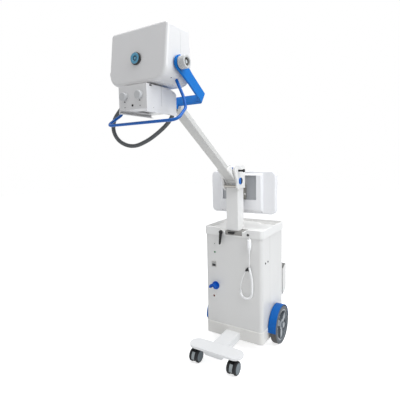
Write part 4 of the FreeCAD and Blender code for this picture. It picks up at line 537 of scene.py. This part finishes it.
ROCKER_X, ROCKER_Z, ROCKER_SPLIT = -0.139, 0.546, 0.5475
BEZEL_FACE, BEZEL_HALF_WIDTH, BEZEL_HALF_HEIGHT = (SHIFT - 170.4) * MM, 0.0187, 0.0202
cover = Surface("front_cover_paint", white_front, 0.42, mottle=0.03, depth=0.00002, coat=0.1)
cover.over(cover.within(cover.below(cover.axis("Y"), BEZEL_FACE),
                        cover.below(cover.away(cover.axis("X"), ROCKER_X), BEZEL_HALF_WIDTH),
                        cover.below(cover.away(cover.axis("Z"), ROCKER_Z), BEZEL_HALF_HEIGHT)),
           colour(196, 194, 190))
paint(cover, "front_cover")

rocker = Surface("rocker_plastic", colour(32, 32, 34), 0.38, mottle=0.15, patch=0.02, depth=0.00003)
rocker.over(rocker.beyond(rocker.axis("Z"), ROCKER_SPLIT), colour(176, 176, 174))
paint(rocker, "switch_rocker")

STUD_X, STUD_Z, STUD_RADIUS, STUD_FACE = 0.112, 0.768, 0.0085, (SHIFT - 173.9) * MM
lids = Surface("lid_shell_plastic", lid_white, 0.38, mottle=0.03, depth=0.00003, coat=0.15)
lids.over(lids.within(lids.below(lids.reach("X", STUD_X, "Z", STUD_Z), STUD_RADIUS),
                      lids.below(lids.axis("Y"), STUD_FACE)), colour(34, 34, 36))
paint(lids, "top_cover")

LOCK_X, LOCK_Z, KEYHOLE_RADIUS = -0.140, 0.328, 0.0075
lock = Surface("lock_metal", colour(214, 212, 208), 0.3, metal=0.3, mottle=0.06, patch=0.01)
lock.over(lock.below(lock.reach("X", LOCK_X, "Z", LOCK_Z), KEYHOLE_RADIUS), colour(96, 48, 44))
paint(lock, "panel_lock")

lever = Surface("lever_plastic", colour(14, 14, 15), 0.42, mottle=0.2, patch=0.03, depth=0.00005,
                specular=0.3)
paint(lever, "clamp_lever")

dials = Surface("dial_plastic", colour(196, 197, 198), 0.38, mottle=0.05, depth=0.00004)
paint(dials, "collimator_dial_left", "collimator_dial_right")


def glass(name, tint, alpha, rough):
    surface = Surface(name, tint, rough, mottle=0.1, patch=0.05, depth=0.00001, spread=0.03, coat=0.6)
    surface.shader.inputs["Alpha"].default_value = alpha
    return surface


screen = glass("screen_glass", colour(18, 22, 28), 1.0, 0.1)
window = glass("window_glass", colour(12, 13, 15), 0.88, 0.08)
paint(screen, "console_screen")
paint(window, "collimator_window")


# Small fittings
def finish_piece(name, mesh, place, heading, body, surface):
    """A mesh built in millimetres along Z, set on its seat and riding on a body."""
    bmesh.ops.remove_doubles(mesh, verts=mesh.verts, dist=0.001)
    bmesh.ops.recalc_face_normals(mesh, faces=mesh.faces)
    bmesh.ops.scale(mesh, vec=(MM, MM, MM), verts=mesh.verts)
    data = bpy.data.meshes.new(name)
    mesh.to_mesh(data)
    mesh.free()
    for face in data.polygons:
        face.use_smooth = True
    data.set_sharp_from_angle(angle=math.radians(32))
    data.materials.append(surface.material)
    made = bpy.data.objects.new(name, data)
    scene.collection.objects.link(made)
    turn = Vector(heading).normalized().to_track_quat("Z", "Y").to_matrix().to_4x4()
    made.matrix_world = Matrix.Translation(at(*place)) @ turn
    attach(made, body)
    return made


def turned(name, profile, place, heading, body, surface, steps=28):
    """A turned piece from pairs of radius and height, the heights counted from its seat."""
    mesh = bmesh.new()
    rings = []
    for radius, height in profile:
        turns = [2 * math.pi * k / steps for k in range(steps if radius else 1)]
        rings.append([mesh.verts.new((radius * math.cos(t), radius * math.sin(t), height)) for t in turns])
    for low, high in zip(rings, rings[1:]):
        for k in range(steps):
            corners = [low[k % len(low)], low[(k + 1) % len(low)],
                       high[(k + 1) % len(high)], high[k % len(high)]]
            mesh.faces.new(list(dict.fromkeys(corners)))
    return finish_piece(name, mesh, place, heading, body, surface)


def plate(name, outline, thickness, edge, place, heading, body, surface):
    """A flat piece from its outline, with its front edges broken."""
    mesh = bmesh.new()
    face = mesh.faces.new([mesh.verts.new((x, y, 0)) for x, y in outline])
    raised = bmesh.ops.extrude_face_region(mesh, geom=[face])
    top = [v for v in raised["geom"] if isinstance(v, bmesh.types.BMVert)]
    bmesh.ops.translate(mesh, vec=(0, 0, thickness), verts=top)
    rim = [e for e in mesh.edges if all(v in top for v in e.verts)]
    bmesh.ops.bevel(mesh, geom=rim, offset=edge, segments=2, profile=0.6, affect="EDGES")
    return finish_piece(name, mesh, place, heading, body, surface)


def screw(name, radius, place, heading, body, surface):
    """A low domed screw with a socket."""
    shares = [(1, 0), (1, 0.25), (0.8, 0.5), (0.46, 0.6), (0.42, 0.2), (0, 0.2)]
    turned(name, [(r * radius, h * radius) for r, h in shares], place, heading, body, surface, 20)


front, right_side, left_side = (0, -1, 0), (1, 0, 0), (-1, 0, 0)
beam_y = HEAD[1] - 5
panel_y = beam_y - 101
housing_x = 76.5
screw_dark = Surface("screw_dark", colour(70, 72, 76), 0.4, metal=0.5, mottle=0.15, patch=0.01, depth=0.00002)
screw_light = Surface("screw_light", colour(170, 172, 174), 0.35, metal=0.6, mottle=0.1, patch=0.01,
                      depth=0.00002)
marker_blue = Surface("marker_blue", colour(20, 92, 190), 0.4, mottle=0.05, patch=0.02, depth=0.00002)
relief_black = Surface("relief_rubber", colour(44, 45, 47), 0.55, mottle=0.15, patch=0.02, depth=0.00006)
jack_black = Surface("jack_plastic", colour(38, 38, 40), 0.4, mottle=0.15, patch=0.01, depth=0.00003)

screw("panel_screw_left", 2.2, (-43, panel_y, 1469), front, "collimator", screw_dark)
screw("panel_screw_right", 2.2, (40, panel_y, 1470), front, "collimator", screw_dark)
for end, side_x, heading in (("", housing_x, right_side), ("_left", -housing_x, left_side)):
    screw(f"side_screw_low{end}", 2.0, (side_x, -1022, 1462.5), heading, "collimator", screw_light)
    screw(f"side_screw_high{end}", 2.0, (side_x, -884, 1540), heading, "collimator", screw_light)
latch = [(-6, -3), (6, -3), (6, 3), (-6, 3)]
plate("side_latch", latch, 1.6, 0.6, (housing_x, -1039, 1550), right_side, "collimator", jack_black)
screw("head_screw_right", 2.4, (137.9, -980, 1581.6), (1, 0, -1), "head", screw_dark)
screw("head_screw_left", 2.4, (-137.9, -980, 1581.6), (-1, 0, -1), "head", screw_dark)
# Each dark triangle is a pointer mark under a dial and also painted shadow that the dial casts on the panel.
for side, x in (("left", -43), ("right", 39)):
    plate(f"dial_pointer_and_shadow_{side}", [(-4.5, 0), (4.5, 0), (0, 6)], 0.6, 0.15, (x, panel_y, 1489.5), front,
          "collimator", screw_dark)
socket = [(6.5, 0), (6.5, 1.2), (5.4, 1.9), (4.4, 1.9), (4.0, 0.4), (1.2, 0.4), (1.0, 1.4), (0, 1.5)]
turned("side_jack_front", socket, (202, -112, 582), right_side, "base", jack_black)
turned("side_jack_rear", socket, (202, -70, 583), right_side, "base", jack_black)
nut = [(7.5, 0), (7.5, 3), (6.2, 4.2), (3.2, 4.2), (2.8, 1.5), (0, 1.5)]
turned("console_jack_left", nut, (-142, -14, 941), front, "console", jack_black)
turned("console_jack_right", nut, (-124, -14, 942), front, "console", screw_dark)
for side, x in (("left", -150), ("right", 141)):
    screw(f"console_screw_{side}", 2.6, (x, -14, 893), front, "console", screw_dark)

collar = [(8.2, 0), (12, 0), (12, 10), (10, 14), (8.2, 14)]
turned("lead_collar", collar, (112, -169, 548), front, "base", jack_black)
knob = [(7, 0), (7, 4.5), (5.8, 6.3), (0, 6.5)]
turned("panel_boss", knob, (-56, -173.5, 771), front, "base", lid)

relief = [(9.6, 0), (13, 0), (13, 3), (12, 4), (11.8, 9), (11.2, 9.6), (11, 15), (10.5, 15.6), (10.3, 22),
          (9.6, 22.5)]
head_end = [(9.6, 0), (11.6, 0), (11.6, 3), (11, 4), (10.7, 9), (10.3, 11), (9.6, 11.4)]
yoke_heading = Vector(hose_points[1]) - Vector(hose_points[0])
head_heading = Vector(hose_points[-2]) - Vector(hose_points[-1])
turned("yoke_relief", relief, hose_points[0], yoke_heading, "fork", relief_black)
turned("head_relief", head_end, hose_points[-1], head_heading, "head", relief_black)

mark = Vector(on_arm(38, 110.7, 25))
plate("arm_marker", [(-7, 6), (0, -7), (7, 6)], 0.5, 0.12, mark, right_side, "arm", marker_blue)

scene.view_settings.view_transform = "Standard"
